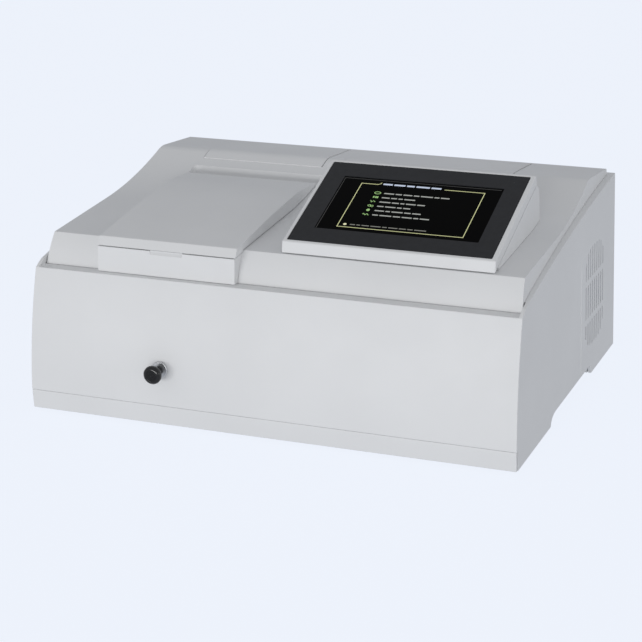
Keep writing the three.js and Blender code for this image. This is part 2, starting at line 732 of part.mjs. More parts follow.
// A concave mirror facing -x, on its own foot, turned by an angle about the vertical.
function concaveMirror(name, x, y, angle) {
  const hollow = range(5, (i) => [5 * i, 3 - 2 * (1 - (i / 4) ** 2)]).reverse();
  const profile = [[0, 8], [20, 8], ...hollow].map(([radius, height]) => [radius, -height]);
  const disc = turned(profile, 'x', [0, 0, BEAM_Z], 32).rotate([0, 0, 180]);
  const foot = box(0.5, 7, -9, 9, MONO.floor + MONO.wall + GAP, 52);
  const piece = disc.add(foot.translate([0.9, 0, 0])).rotate([0, 0, angle]).translate([x, y, 0]);
  return mesh(name, piece, mirrorFace());
}

function gratingTable() {
  const axis = [GRATING_X, GRATING_Y, 0];
  const spindle = rod(5, 'z', axis, MONO.floor + 0.7, 48);
  const table = rod(21, 'z', axis, 46, 49, 28);
  const armEnd = GRATING_X + SINE_ARM + 3;
  const arm = box(GRATING_X, armEnd, GRATING_Y - 4, GRATING_Y + 4, DRIVE_Z - 3, DRIVE_Z + 3);
  const pin = rod(3, 'z', [GRATING_X + SINE_ARM, GRATING_Y + 5.2, 0], DRIVE_Z - 3, DRIVE_Z + 6, 16);
  return mesh('grating_table', joined([spindle, table, arm, pin]), aluminium());
}

function diffractionGrating() {
  const block = box(GRATING_X - 5, GRATING_X + 5, GRATING_Y - 16, GRATING_Y + 16, 49.3, 82);
  return mesh('diffraction_grating', block, mirrorFace());
}

function driveNut() {
  const face = GRATING_Y + 8.7; // half a millimetre behind the arm's pin
  const block = box(DRIVE_X - 7, DRIVE_X + 7, face, face + 14, DRIVE_Z - 7, DRIVE_Z + 7);
  const finger = box(DRIVE_X - 19, DRIVE_X - 6, face, face + 4, DRIVE_Z - 3, DRIVE_Z + 6);
  const bore = rod(3.4, 'y', [DRIVE_X, 0, DRIVE_Z], 150, 320, 16);
  return mesh('drive_nut', block.add(finger).subtract(bore), brass());
}

const SCREW_LEAD = 5;

function driveScrew() {
  // shallow turned grooves stand for the thread
  const profile = [[0, 178], [2.6, 178]];
  for (let y = 190; y < 290; y += 2 * SCREW_LEAD) {
    profile.push([3, y], [3, y + 2 * SCREW_LEAD - 2], [2.5, y + 2 * SCREW_LEAD - 1]);
  }
  profile.push([2.6, 292], [2.6, 310], [0, 310]);
  return mesh('drive_screw', turned(profile, 'y', [DRIVE_X, 0, DRIVE_Z], 12), steel());
}

function wavelengthMotor() {
  const body = box(DRIVE_X - 14, DRIVE_X + 14, MONO.rear + 0.4, MONO.rear + 26, DRIVE_Z - 14, DRIVE_Z + 14);
  const bore = rod(3.2, 'y', [DRIVE_X, 0, DRIVE_Z], MONO.rear - 5, MONO.rear + 12, 16);
  return mesh('wavelength_motor', body.subtract(bore), blackAnodised());
}

// ---------------------------------------------------------------- filter wheel and lamp

function filterWheel() {
  const disc = rod(30, 'x', [0, LAMP_BEAM_Y, FILTER_Z], -53, -50, 32);
  const hub = rod(6, 'x', [0, LAMP_BEAM_Y, FILTER_Z], -57, -49.6);
  const ring = FILTER_Z - BEAM_Z;
  const windows = range(6, (i) => {
    const angle = (i * Math.PI) / 3 - Math.PI / 2;
    const y = LAMP_BEAM_Y + ring * Math.cos(angle);
    return rod(6.5, 'x', [0, y, FILTER_Z + ring * Math.sin(angle)], -60, -40, 12);
  });
  const bore = rod(2.3, 'x', [0, LAMP_BEAM_Y, FILTER_Z], -60, -40, 12);
  return mesh('filter_wheel', without(disc.add(hub), [...windows, bore]), blackAnodised());
}

function filterMotor() {
  const body = rod(13, 'x', [0, LAMP_BEAM_Y, FILTER_Z], -46, -33, 24);
  const shaft = rod(2, 'x', [0, LAMP_BEAM_Y, FILTER_Z], -56, -45, 12);
  const post = box(-36, -33, 236, 246, BENCH_TOP + GAP, 99);
  const ear = box(-36, -33, 236, LAMP_BEAM_Y, 80, 99);
  return mesh('filter_motor', joined([body, shaft, post, ear]), aluminium());
}

function lampHouse() {
  const l = LAMP_HOUSE;
  const shell = box(l.left, l.right, l.front, l.rear, BENCH_TOP + GAP, l.top);
  const room = box(l.left + l.wall, l.right - l.wall, l.front + l.wall, l.rear - l.wall, 0, l.top - l.wall);
  const vents = range(5, (i) => box(-140 + i * 16, -134 + i * 16, 232, 292, 100, 130));
  const port = rod(9, 'x', [0, LAMP_BEAM_Y, BEAM_Z], -70, -50);
  return mesh('lamp_house', without(shell, [room, port, ...vents]), steel());
}

function halogenLamp() {
  const profile = [
    [0, 44.3], [3.6, 44.3], [3.6, 50], [5.6, 54], [5.6, 70], [4.4, 74], [1.6, 76], [0, 76.4],
  ];
  return mesh('halogen_lamp', turned(profile, 'z', [-108, LAMP_BEAM_Y, 0]), clearGlass());
}

function lampSocket() {
  const block = box(-116, -100, LAMP_BEAM_Y - 10, LAMP_BEAM_Y + 10, BENCH_TOP + 0.6, 44);
  return mesh('lamp_socket', block, ceramic());
}

function condenserLens() {
  const bulge = range(5, (i) => [11 - 11 * (i / 4), 4 + 3 * (1 - (1 - i / 4) ** 2)]);
  const profile = [...bulge.map(([r, h]) => [r, -h]).reverse(), ...bulge];
  const lens = turned(profile, 'x', [-74, LAMP_BEAM_Y, BEAM_Z]);
  const post = box(-76, -72, LAMP_BEAM_Y - 3, LAMP_BEAM_Y + 3, BENCH_TOP + 0.6, 57);
  return mesh('condenser_lens', lens.add(post), clearGlass());
}

// ---------------------------------------------------------------- electronics

function mainBoard() {
  const board = box(-20, 215, 18, 96, 13, 14.6);
  const legs = [-14, 209].flatMap((x) => [24, 90].map((y) => rod(3, 'z', [x, y, 0], 2.8, 13.5, 12)));
  const chips = [[10, 38, 40, 58, 18], [60, 84, 34, 58, 17], [130, 190, 30, 46, 24], [150, 176, 66, 88, 30]];
  const parts = chips.map(([x0, x1, y0, y1, z1]) => box(x0, x1, y0, y1, 14, z1));
  return mesh('main_board', joined([board, ...legs, ...parts]), boardGreen());
}

function powerSupply() {
  const cage = box(148, 198, 112, 212, 12.2, 56);
  const slots = range(8, (i) => box(154, 192, 120 + i * 11, 125 + i * 11, 52, 60));
  return mesh('power_supply', without(cage, slots), aluminium());
}

const FAN_LEFT = 203;
const FAN_DEPTH = 25;

function fanFrame() {
  const half = FAN_SIZE / 2;
  const right = FAN_LEFT + FAN_DEPTH;
  const shell = box(FAN_LEFT, right, FAN_Y - half, FAN_Y + half, FAN_Z - half, FAN_Z + half);
  const bore = rod(half - 2, 'x', [0, FAN_Y, FAN_Z], FAN_LEFT - 1, right + 1, 40);
  const motorSeat = rod(14, 'x', [0, FAN_Y, FAN_Z], right - 3, right);
  const struts = [
    box(right - 3, right, FAN_Y - half + 1, FAN_Y + half - 1, FAN_Z - 2, FAN_Z + 2),
    box(right - 3, right, FAN_Y - 2, FAN_Y + 2, FAN_Z - half + 1, FAN_Z + half - 1),
  ];
  return mesh('fan_frame', joined([shell.subtract(bore), motorSeat, ...struts]), blackPlastic());
}

function fanRotor() {
  const hub = rod(14, 'x', [0, 0, 0], FAN_LEFT + 2, FAN_LEFT + 20.5);
  const blades = range(7, (i) => {
    const blade = new THREE.BoxGeometry(20, 2, 24);
    blade.rotateZ(THREE.MathUtils.degToRad(40));
    blade.translate(FAN_LEFT + 11, 0, 24.5);
    blade.rotateX((i * 2 * Math.PI) / 7);
    return solid(blade);
  });
  const rotor = joined([hub, ...blades]).translate([0, FAN_Y, FAN_Z]);
  return mesh('fan_rotor', rotor, blackPlastic());
}

// ---------------------------------------------------------------- rear panel and connectors

const INLET = { left: 160, right: 190, low: 34, high: 56 };
const SWITCH = { left: 121.6, right: 140.4, low: 32.1, high: 55.9 };
const SERIAL = { left: 22, right: 54, low: 38, high: 51 };
const USB = { left: 72, right: 86, low: 41, high: 48 };
const ROCKER_Y = 336;
const ROCKER_TILT = -10; // degrees, switched off

function grown(frame, by) {
  return box(frame.left - by, frame.right + by, 300, 360, frame.low - by, frame.high + by);
}

function rearPanel() {
  const plate = box(-212, 212, PANEL_FACE - 2, PANEL_FACE, 22, 155);
  const cuts = [INLET, SWITCH, SERIAL, USB].map((frame) => grown(frame, GAP));
  return mesh('rear_panel', without(plate, cuts), casePlastic());
}

// A connector body through the panel with a flange outside it and a cavity open to the rear.
function connector(frame, flange, depth, cavityWall) {
  const { left, right, low, high } = frame;
  const outer = PANEL_FACE + GAP;
  const body = box(left, right, PANEL_FACE - depth, outer + 1, low, high);
  const lip = box(left - flange, right + flange, outer, outer + 2, low - flange, high + flange);
  const c = cavityWall;
  const cavity = box(left + c, right - c, PANEL_FACE - depth + 3, 360, low + c, high - c);
  return body.add(lip).subtract(cavity);
}

function powerInlet() {
  const middle = (INLET.left + INLET.right) / 2;
  const blades = [[-7, 43], [0, 48], [7, 43]].map(([dx, z]) => (
    box(middle + dx - 1, middle + dx + 1, PANEL_FACE - 18, PANEL_FACE - 1, z - 3, z + 3)
  ));
  const socket = joined([connector(INLET, 6, 20, 3), ...blades]);
  return mesh('power_inlet', socket, blackPlastic());
}

function powerSwitch() {
  const frame = mesh('power_switch_frame', connector(SWITCH, 3, 18, 1.4), blackPlastic());
  const outline = [
    point(-5, -3), point(1.5, -9.4), point(3.5, -9.4), point(1.8, 0), point(3.5, 9.4),
    point(1.5, 9.4), point(-5, 3),
  ];
  const centre = (SWITCH.left + SWITCH.right) / 2;
  const rocker = prismX(outline, centre - 7.4, centre + 7.4)
    .rotate([ROCKER_TILT, 0, 0])
    .translate([0, ROCKER_Y, (SWITCH.low + SWITCH.high) / 2]);
  return [frame, mesh('power_rocker', rocker, blackPlastic())];
}

function dataPorts() {
  return [
    mesh('serial_port', connector(SERIAL, 2.5, 10, 1.6), steel()),
    mesh('usb_port', connector(USB, 1, 10, 1.2), steel()),
  ];
}

// ---------------------------------------------------------------- assembly

const assembly = new THREE.Group();
assembly.position.set(0, -(DEPTH - KNOB_REACH) / 2, FOOT_HEIGHT);
assembly.add(
  baseTray(), ...rubberFeet(), lowerHousing(), topCover(), ...rearHatches(),
  compartmentFascia(), sampleLid(), lidSeal(), ...hingePins(),
  displayBezel(), displayGlass(), lcdPanel(), displayRearShell(), displayCable(),
  sampleChamber(), ...guideRails(), cellCarriage(), cellHolder(), pullRod(), pullKnob(), rodBush(),
  opticalBench(), detectorHousing(), photodiode(),
  monochromatorCase(), monochromatorLid(), slit('exit_slit', BEAM_Y), slit('entrance_slit', LAMP_BEAM_Y),
  concaveMirror('focusing_mirror', 118, 140, 4), concaveMirror('collimating_mirror', 118, 258, -4),
  gratingTable(), diffractionGrating(), driveScrew(), driveNut(), wavelengthMotor(),
  filterWheel(), filterMotor(), lampHouse(), halogenLamp(), lampSocket(), condenserLens(),
  mainBoard(), powerSupply(), fanFrame(), fanRotor(),
  rearPanel(), powerInlet(), ...powerSwitch(), ...dataPorts(),
);

export default assembly;
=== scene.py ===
"""Looks of the bench-top spectrophotometer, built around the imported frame."""
import json
import math

import bmesh
import bpy
from mathutils import Matrix, Vector


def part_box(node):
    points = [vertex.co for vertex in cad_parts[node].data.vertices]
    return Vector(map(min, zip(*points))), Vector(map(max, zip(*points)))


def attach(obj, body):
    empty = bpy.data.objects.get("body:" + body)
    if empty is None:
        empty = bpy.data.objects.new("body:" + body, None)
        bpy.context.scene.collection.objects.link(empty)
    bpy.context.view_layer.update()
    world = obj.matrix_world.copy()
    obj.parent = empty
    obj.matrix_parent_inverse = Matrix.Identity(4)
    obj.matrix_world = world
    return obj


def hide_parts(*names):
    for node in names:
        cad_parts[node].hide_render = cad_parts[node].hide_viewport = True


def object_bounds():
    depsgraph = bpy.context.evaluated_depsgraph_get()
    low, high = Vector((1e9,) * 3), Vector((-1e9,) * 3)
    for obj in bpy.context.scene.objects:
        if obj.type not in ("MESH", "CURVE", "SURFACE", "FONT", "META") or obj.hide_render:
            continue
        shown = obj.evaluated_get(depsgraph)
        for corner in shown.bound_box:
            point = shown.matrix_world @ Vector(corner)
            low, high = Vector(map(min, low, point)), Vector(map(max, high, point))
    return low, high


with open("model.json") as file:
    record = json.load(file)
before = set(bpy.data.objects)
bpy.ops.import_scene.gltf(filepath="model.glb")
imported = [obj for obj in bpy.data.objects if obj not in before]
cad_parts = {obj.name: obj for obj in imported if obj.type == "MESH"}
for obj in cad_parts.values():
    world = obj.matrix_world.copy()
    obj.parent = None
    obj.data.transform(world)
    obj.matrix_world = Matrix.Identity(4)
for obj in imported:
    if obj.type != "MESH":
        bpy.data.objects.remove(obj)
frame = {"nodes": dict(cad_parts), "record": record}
CAD_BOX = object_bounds()
SCENE = bpy.context.scene
MM = 0.001

# ---- the housing's own frame
# x = 0 on the centre plane, y = 0 at the front bottom edge, z = 0 at the housing's underside.

DEPTH = 345.0
TRAY_LOW, TRAY_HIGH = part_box("base_tray")
ORIGIN = Vector(((TRAY_LOW.x + TRAY_HIGH.x) / 2, TRAY_HIGH.y - DEPTH * MM, TRAY_LOW.z))


# ---- materials

def new_material(name):
    material = bpy.data.materials.new(name)
    material.use_nodes = True
    tree = material.node_tree
    shader = tree.nodes["Principled BSDF"]
    return material, tree, shader


def put(node, name, value):
    node.inputs[name].default_value = value


def link(tree, source, target):
    tree.links.new(source, target)


def position(tree, stretch=(1.0, 1.0, 1.0)):
    """Object coordinates, stretched per axis, in metres."""
    coordinates = tree.nodes.new("ShaderNodeTexCoord")
    mapping = tree.nodes.new("ShaderNodeMapping")
    put(mapping, "Scale", stretch)
    link(tree, coordinates.outputs["Object"], mapping.inputs["Vector"])
    return mapping.outputs["Vector"]


def noise(tree, vector, scale, detail=3.0, roughness=0.5):
    """Cloudy noise of about scale features a metre, from 0 to 1."""
    node = tree.nodes.new("ShaderNodeTexNoise")
    put(node, "Scale", scale)
    put(node, "Detail", detail)
    put(node, "Roughness", roughness)
    link(tree, vector, node.inputs["Vector"])
    return node.outputs["Fac"]


def ramp(tree, factor, low, high, low_at=0.0, high_at=1.0):
    """A colour ramp between two grey levels or colours."""
    node = tree.nodes.new("ShaderNodeValToRGB")
    stops = node.color_ramp.elements
    for stop, value, where in ((stops[0], low, low_at), (stops[1], high, high_at)):
        stop.position = where
        stop.color = (*value, 1.0) if isinstance(value, tuple) else (value, value, value, 1.0)
    link(tree, factor, node.inputs["Fac"])
    return node.outputs["Color"]


def vary(tree, shader, name, factor, low, high, low_at=0.0, high_at=1.0):
    """Lets a pattern drive one of the shader's inputs between two values."""
    link(tree, ramp(tree, factor, low, high, low_at, high_at), shader.inputs[name])


def bump(tree, shader, height, strength, distance):
    """Lets a height pattern tilt the surface; distance is its depth in metres."""
    node = tree.nodes.new("ShaderNodeBump")
    put(node, "Strength", strength)
    put(node, "Distance", distance)
    link(tree, height, node.inputs["Height"])
    link(tree, node.outputs["Normal"], shader.inputs["Normal"])


def tint(colour, factor):
    """A colour made darker or lighter by a factor, kept within 1."""
    return tuple(min(1.0, channel * factor) for channel in colour)


def moulded_plastic(name, colour, roughness, grain=0.5, grain_depth=0.012):
    """Moulded plastic: spark-eroded grain in millimetres, faint flow marks and sheen changes."""
    material, tree, shader = new_material(name)
    vector = position(tree)
    cloud = noise(tree, vector, 9.0, 4.0)
    vary(tree, shader, "Base Color", cloud, tint(colour, 0.975), tint(colour, 1.02), 0.3, 0.7)
    fine = noise(tree, vector, 1.0 / (grain * MM), 2.0, 0.6)
    sheen = noise(tree, vector, 40.0, 3.0)
    vary(tree, shader, "Roughness", sheen, roughness * 0.93, roughness * 1.08, 0.3, 0.7)
    bump(tree, shader, fine, 0.35, grain_depth * MM)
    put(shader, "Specular IOR Level", 0.45)
    return material


def polished_plastic(name, colour, roughness=0.12, shine=0.5):
    """Gloss plastic with handling haze and faint ripples."""
    material, tree, shader = new_material(name)
    vector = position(tree)
    haze = noise(tree, vector, 160.0, 5.0)
    vary(tree, shader, "Roughness", haze, roughness * 0.7, roughness * 1.8, 0.35, 0.75)
    vary(tree, shader, "Base Color", haze, tint(colour, 0.85), tint(colour, 1.2))
    bump(tree, shader, noise(tree, vector, 300.0, 2.0), 0.08, 0.02 * MM)
    put(shader, "Specular IOR Level", shine)
    return material


def brushed_metal(name, colour, roughness, along="x"):
    """Metal with fine brushing along one axis."""
    material, tree, shader = new_material(name)
    stretch = [1.0, 1.0, 1.0]
    stretch["xyz".index(along)] = 0.03
    vector = position(tree, stretch)
    lines = noise(tree, vector, 1800.0, 3.0, 0.7)
    vary(tree, shader, "Roughness", lines, roughness * 0.75, roughness * 1.3)
    vary(tree, shader, "Base Color", lines, tint(colour, 0.88), tint(colour, 1.06))
    put(shader, "Metallic", 1.0)
    bump(tree, shader, lines, 0.2, 0.01 * MM)
    return material


def cast_metal(name, colour, roughness=0.62, metallic=0.7):
    """Painted casting with an orange-peel skin."""
    material, tree, shader = new_material(name)
    vector = position(tree)
    skin = noise(tree, vector, 900.0, 3.0)
    vary(tree, shader, "Base Color", noise(tree, vector, 30.0), tint(colour, 0.85), tint(colour, 1.1))
    vary(tree, shader, "Roughness", skin, roughness * 0.85, roughness * 1.15)
    put(shader, "Metallic", metallic)
    bump(tree, shader, skin, 0.4, 0.05 * MM)
    return material


def rubber_material(name):
    material, tree, shader = new_material(name)
    vector = position(tree)
    pits = noise(tree, vector, 1500.0, 4.0)
    vary(tree, shader, "Base Color", pits, 0.018, 0.035)
    vary(tree, shader, "Roughness", pits, 0.75, 0.95)
    bump(tree, shader, pits, 0.5, 0.04 * MM)
    return material


def mirror_material(name):
    """A silvered mirror with a thin uneven film."""
    material, tree, shader = new_material(name)
    film = noise(tree, position(tree), 60.0, 2.0)
    vary(tree, shader, "Roughness", film, 0.02, 0.06)
    vary(tree, shader, "Base Color", film, (0.86, 0.88, 0.9), (0.93, 0.94, 0.95))
    put(shader, "Metallic", 1.0)
    return material


def clear_glass(name):
    material, tree, shader = new_material(name)
    film = noise(tree, position(tree), 80.0, 2.0)
    vary(tree, shader, "Roughness", film, 0.02, 0.07)
    put(shader, "Base Color", (0.92, 0.96, 0.96, 1.0))
    put(shader, "Transmission Weight", 0.85)
    return material


def board_material(name):
    """Solder mask with buried copper tracks."""
    material, tree, shader = new_material(name)
    vector = position(tree)
    brick = tree.nodes.new("ShaderNodeTexBrick")
    put(brick, "Scale", 90.0)
    put(brick, "Mortar Size", 0.035)
    put(brick, "Color1", (0.02, 0.13, 0.05, 1.0))
    put(brick, "Color2", (0.025, 0.17, 0.07, 1.0))
    put(brick, "Mortar", (0.06, 0.3, 0.13, 1.0))
    link(tree, vector, brick.inputs["Vector"])
    link(tree, brick.outputs["Color"], shader.inputs["Base Color"])
    vary(tree, shader, "Roughness", noise(tree, vector, 500.0), 0.3, 0.45)
    bump(tree, shader, brick.outputs["Fac"], 0.3, 0.04 * MM)
    return material


def filter_material(name):
    """Open-cell filter mat: a light web with fine cells painted dark, as shade inside the open cells."""
    material, tree, shader = new_material(name)
    cells = tree.nodes.new("ShaderNodeTexVoronoi")
    cells.feature = "DISTANCE_TO_EDGE"
    put(cells, "Scale", 700.0)
    link(tree, position(tree), cells.inputs["Vector"])
    web = cells.outputs["Distance"]
    # painted shade: the colour darkens from the web towards each cell's middle, standing in for shade in the
    # open cells
    vary(tree, shader, "Base Color", web, (0.74, 0.75, 0.76), (0.44, 0.45, 0.46), 0.02, 0.3)
    put(shader, "Roughness", 0.9)
    bump(tree, shader, web, 0.6, 0.3 * MM)
    return material


def glowing(name, colour, strength):
    """Lit pixels: a fine horizontal line structure over an even glow."""
    material, tree, shader = new_material(name)
    lines = tree.nodes.new("ShaderNodeTexWave")
    lines.bands_direction = "Y"
    put(lines, "Scale", 900.0)
    link(tree, position(tree), lines.inputs["Vector"])
    glow = ramp(tree, lines.outputs["Fac"], tint(colour, 0.8), colour)
    link(tree, glow, shader.inputs["Emission Color"])
    put(shader, "Emission Strength", strength)
    put(shader, "Base Color", (0.01, 0.01, 0.01, 1.0))
    put(shader, "Specular IOR Level", 0.0)
    return material


CASE = (0.80, 0.805, 0.81)
MATERIALS = {
    "case_plastic": moulded_plastic("case_plastic", CASE, 0.48),
    "black_plastic": polished_plastic("black_plastic", (0.012, 0.012, 0.013)),
    "dark_plastic": moulded_plastic("dark_plastic", (0.03, 0.03, 0.032), 0.5, 0.3, 0.01),
    "rubber": rubber_material("rubber"),
    "steel": brushed_metal("steel", (0.62, 0.63, 0.64), 0.3, "y"),
    "aluminium": brushed_metal("aluminium", (0.72, 0.73, 0.74), 0.38, "x"),
    "cast_metal": cast_metal("cast_metal", (0.36, 0.38, 0.4)),
    "black_anodised": cast_metal("black_anodised", (0.02, 0.02, 0.022), 0.5, 0.4),
    "mirror_face": mirror_material("mirror_face"),
    "brass": brushed_metal("brass", (0.76, 0.56, 0.24), 0.25, "z"),
    "clear_glass": clear_glass("clear_glass"),
    "touch_glass": polished_plastic("touch_glass", (0.027, 0.028, 0.031), 0.16, 0.12),
    "screen": polished_plastic("screen", (0.0012, 0.0012, 0.0012), 0.1, 0.02),
    "board_green": board_material("board_green"),
    "ceramic": moulded_plastic("ceramic", (0.8, 0.76, 0.66), 0.7, 0.4, 0.05),
    "filter_mesh": filter_material("filter_mesh"),
}


# ---- mesh building

TO_FRAME = Matrix.Translation(ORIGIN) @ Matrix.Scale(MM, 4)


def curve_points(start, control, end, count):
    """Points of a quadratic curve, ends included."""
    points = []
    for i in range(count + 1):
        t = i / count
        points.append(tuple(
            a * (1 - t) ** 2 + 2 * b * t * (1 - t) + c * t * t for a, b, c in zip(start, control, end)
        ))
    return points


def spline_points(knots, per_span):
    """A smooth curve through all the knots."""
    ends = [knots[0], *knots, knots[-1]]
    points = [knots[0]]
    for a, b, c, d in zip(ends, ends[1:], ends[2:], ends[3:]):
        for i in range(1, per_span + 1):
            t = i / per_span
            points.append(tuple(
                0.5 * (2 * q + (r - p) * t + (2 * p - 5 * q + 4 * r - s) * t * t
                       + (3 * q - p - 3 * r + s) * t ** 3)
                for p, q, r, s in zip(a, b, c, d)
            ))
    return points


def carried(outline, left, right):
    """A y-z outline carried across x. left and right are numbers, or functions of z."""
    left_at = left if callable(left) else lambda z: left
    right_at = right if callable(right) else lambda z: right
    shape = bmesh.new()
    lefts = [shape.verts.new((left_at(z), y, z)) for y, z in outline]
    rights = [shape.verts.new((right_at(z), y, z)) for y, z in outline]
    shape.faces.new(lefts)
    shape.faces.new(rights[::-1])
    count = len(outline)
    for i in range(count):
        j = (i + 1) % count
        shape.faces.new((lefts[j], lefts[i], rights[i], rights[j]))
    bmesh.ops.recalc_face_normals(shape, faces=shape.faces)
    return shape


def block(x0, x1, y0, y1, z0, z1):
    return carried([(y0, z0), (y1, z0), (y1, z1), (y0, z1)], x0, x1)


def turned(profile, axis, centre, segments=64):
    """A profile of (radius, height) pairs turned about an axis, closed at the ends on the axis."""
    shape = bmesh.new()
    rings = []
    for radius, height in profile:
        if radius < 1e-6:
            rings.append([shape.verts.new((0, 0, height))])
            continue
        ring = []
        for i in range(segments):
            angle = 2 * math.pi * i / segments
            ring.append(shape.verts.new((radius * math.cos(angle), radius * math.sin(angle), height)))
        rings.append(ring)
    for lower, upper in zip(rings, rings[1:]):
        for i in range(segments):
            j = (i + 1) % segments
            corners = [lower[i % len(lower)], lower[j % len(lower)]]
            corners += [upper[j % len(upper)], upper[i % len(upper)]]
            unique = list(dict.fromkeys(corners))
            if len(unique) > 2:
                shape.faces.new(unique)
    turn = {
        "x": Matrix.Rotation(math.pi / 2, 4, "Y"),
        "y": Matrix.Rotation(-math.pi / 2, 4, "X"),
        "z": Matrix.Identity(4),
    }[axis]
    shape.transform(Matrix.Translation(centre) @ turn)
    bmesh.ops.recalc_face_normals(shape, faces=shape.faces)
    return shape


def rounded(shape, width, segments=3, chosen=None, angle=30.0):
    """Rounds the edges sharper than an angle, or those that chosen(middle, edge) picks."""
    shape.normal_update()
    limit = math.radians(angle)
    edges = []
    for edge in shape.edges:
        if len(edge.link_faces) != 2 or edge.calc_face_angle(0.0) < limit:
            continue
        middle = (edge.verts[0].co + edge.verts[1].co) / 2
        if chosen is None or chosen(middle, edge):
            edges.append(edge)
    bmesh.ops.bevel(
        shape, geom=edges, offset=width, offset_type="OFFSET", segments=segments, profile=0.5,
        affect="EDGES", clamp_overlap=True,
    )
    return shape


def span(edge):
    """How far an edge reaches along each axis."""
    run = edge.verts[0].co - edge.verts[1].co
    return Vector((abs(run.x), abs(run.y), abs(run.z)))


def scratch_object(shape):
    """A passing object that lends a shape to a modifier."""
    mesh = bpy.data.meshes.new("scratch")
    shape.to_mesh(mesh)
    shape.free()
    obj = bpy.data.objects.new("scratch", mesh)
    SCENE.collection.objects.link(obj)
    return obj


def combined(base, tools, operation="DIFFERENCE"):
    """The base shape cut by, or joined with, every tool."""
    obj = scratch_object(base)
    helpers = [scratch_object(tool) for tool in tools]
    for helper in helpers:
        step = obj.modifiers.new("step", "BOOLEAN")
        step.operation = operation
        step.solver = "EXACT"
        step.object = helper
    graph = bpy.context.evaluated_depsgraph_get()
    result = bmesh.new()
    result.from_object(obj, graph)
    for spare in (obj, *helpers):
        mesh = spare.data
        bpy.data.objects.remove(spare)
        bpy.data.meshes.remove(mesh)
    bmesh.ops.remove_doubles(result, verts=result.verts, dist=1e-4)
    return result


def piece(name, shape, material="case_plastic", body="root", replaces="", smooth=32.0, edge=0.0):
    """Turns a shape drawn in housing millimetres into a finished piece on a body."""
    mesh = bpy.data.meshes.new(name)
    shape.transform(TO_FRAME)
    shape.to_mesh(mesh)
    shape.free()
    obj = bpy.data.objects.new(name, mesh)
    SCENE.collection.objects.link(obj)
    mesh.materials.append(MATERIALS[material] if isinstance(material, str) else material)
    if edge:
        soften = obj.modifiers.new("edge", "BEVEL")
        soften.width = edge * MM
        soften.segments = 2
        soften.limit_method = "ANGLE"
        soften.angle_limit = math.radians(50)
        soften.use_clamp_overlap = True
    shade(obj, smooth)
    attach(obj, body)
    if replaces:
        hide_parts(replaces)
    return obj


def shade(obj, angle):
    """Smooth shading with crisp edges above an angle, and flat faces kept flat."""
    mesh = obj.data
    mesh.polygons.foreach_set("use_smooth", [True] * len(mesh.polygons))
    mesh.set_sharp_from_angle(angle=math.radians(angle))
    weigh = obj.modifiers.new("shading", "WEIGHTED_NORMAL")
    weigh.keep_sharp = True


# ---- surfaces shared by the casing

HALF = 235.0
WALL = 3.0
SIDE_DRAFT, REAR_DRAFT = 0.018, 0.006
TRAY_SEAM = 18.5
LEDGE = 132.5
PANEL_TOP_Y = 17.6
SEAM_START, SEAM_END, SEAM_RISE = (27.0, 137.6), (340.0, 177.0), 5.0
COVER_INSET, COVER_DRAFT = 6.4, 0.0837
COVER_FRONT = (45.6, 159.2)
COVER_SLOPE = math.tan(math.radians(3.07))
SWEEP_START, SWEEP_RADIUS = 150.0, 396.0
CREST_START, CREST_END, CREST_PEAK = 262.0, 276.0, 188.98
COVER_REAR, DECK_SLOPE = (337.5, 182.25), -0.0982


def housing_half(z):
    """Half of the housing's width at a height: the side walls lean in."""
    return HALF - SIDE_DRAFT * z


def cover_half(z):
    """Half of the cover's width at a height."""
    return HALF - COVER_INSET - COVER_DRAFT * (z - LEDGE)


def seam_height(y):
    """Height of the bowed seam between the housing and the cover, on the side walls."""
    t = (y - SEAM_START[0]) / (SEAM_END[0] - SEAM_START[0])
    return SEAM_START[1] + (SEAM_END[1] - SEAM_START[1]) * t + 4 * SEAM_RISE * t * (1 - t)


def sweep_height(y):
    """The cover's front slope, which turns upwards past the start of the sweep."""
    run = max(0.0, y - SWEEP_START)
    return COVER_FRONT[1] + COVER_SLOPE * (y - COVER_FRONT[0]) + run * run / (2 * SWEEP_RADIUS)


def deck_height(y):
    """The deck behind the crest, which falls gently to the rear."""
    return COVER_REAR[1] + DECK_SLOPE * (y - COVER_REAR[0])


def cover_height(y):
    """The cover's top: a gentle slope, an upward sweep, a rounded crest and a deck."""
    if y <= CREST_START:
        return sweep_height(y)
    if y >= CREST_END:
        return deck_height(y)
    t = (y - CREST_START) / (CREST_END - CREST_START)
    start, end = sweep_height(CREST_START), deck_height(CREST_END)
    return start * (1 - t) ** 2 + 2 * CREST_PEAK * t * (1 - t) + end * t * t


def cover_line(y0, y1, offset=0.0):
    """Points along the cover's top, closer together where it bends."""
    knots = [SWEEP_START + 7.0 * i for i in range(17)]
    knots += [CREST_START + 1.0 * i for i in range(int(CREST_END - CREST_START) + 1)]
    inside = [y for y in sorted(set(knots)) if y0 + 0.5 < y < y1 - 0.5]
    return [(y, cover_height(y) + offset) for y in (y0, *inside, y1)]


# ---- housing and tray

ARCH = 9.4
FRONT_FOOT_END, ARCH_START, ARCH_END, REAR_FOOT_START = 108.0, 127.0, 252.0, 255.0
FAN_Y, FAN_Z = 265.0, 79.0
VENT_SLOTS, VENT_PITCH, VENT_WIDTH, VENT_REACH = 9, 8.0, 3.0, 49.0
VENT_FIELD_HALF = 40.0
VENT_RIBS, VENT_RIB_HALF = (58.0, 96.0), 2.5
ROD_X, ROD_Z, ROD_HOLE = -101.0, 53.0, 4.9


def side_foot_line():
    """The housing's lower side edge: front foot, arched hand space, rear foot."""
    line = [(0.0, 0.0), (FRONT_FOOT_END, 0.0)]
    line += curve_points((FRONT_FOOT_END, 0.0), (FRONT_FOOT_END + 3, ARCH), (ARCH_START, ARCH), 10)[1:]
    line += [(ARCH_END, ARCH), (REAR_FOOT_START, 0.0), (DEPTH, 0.0)]
    return line


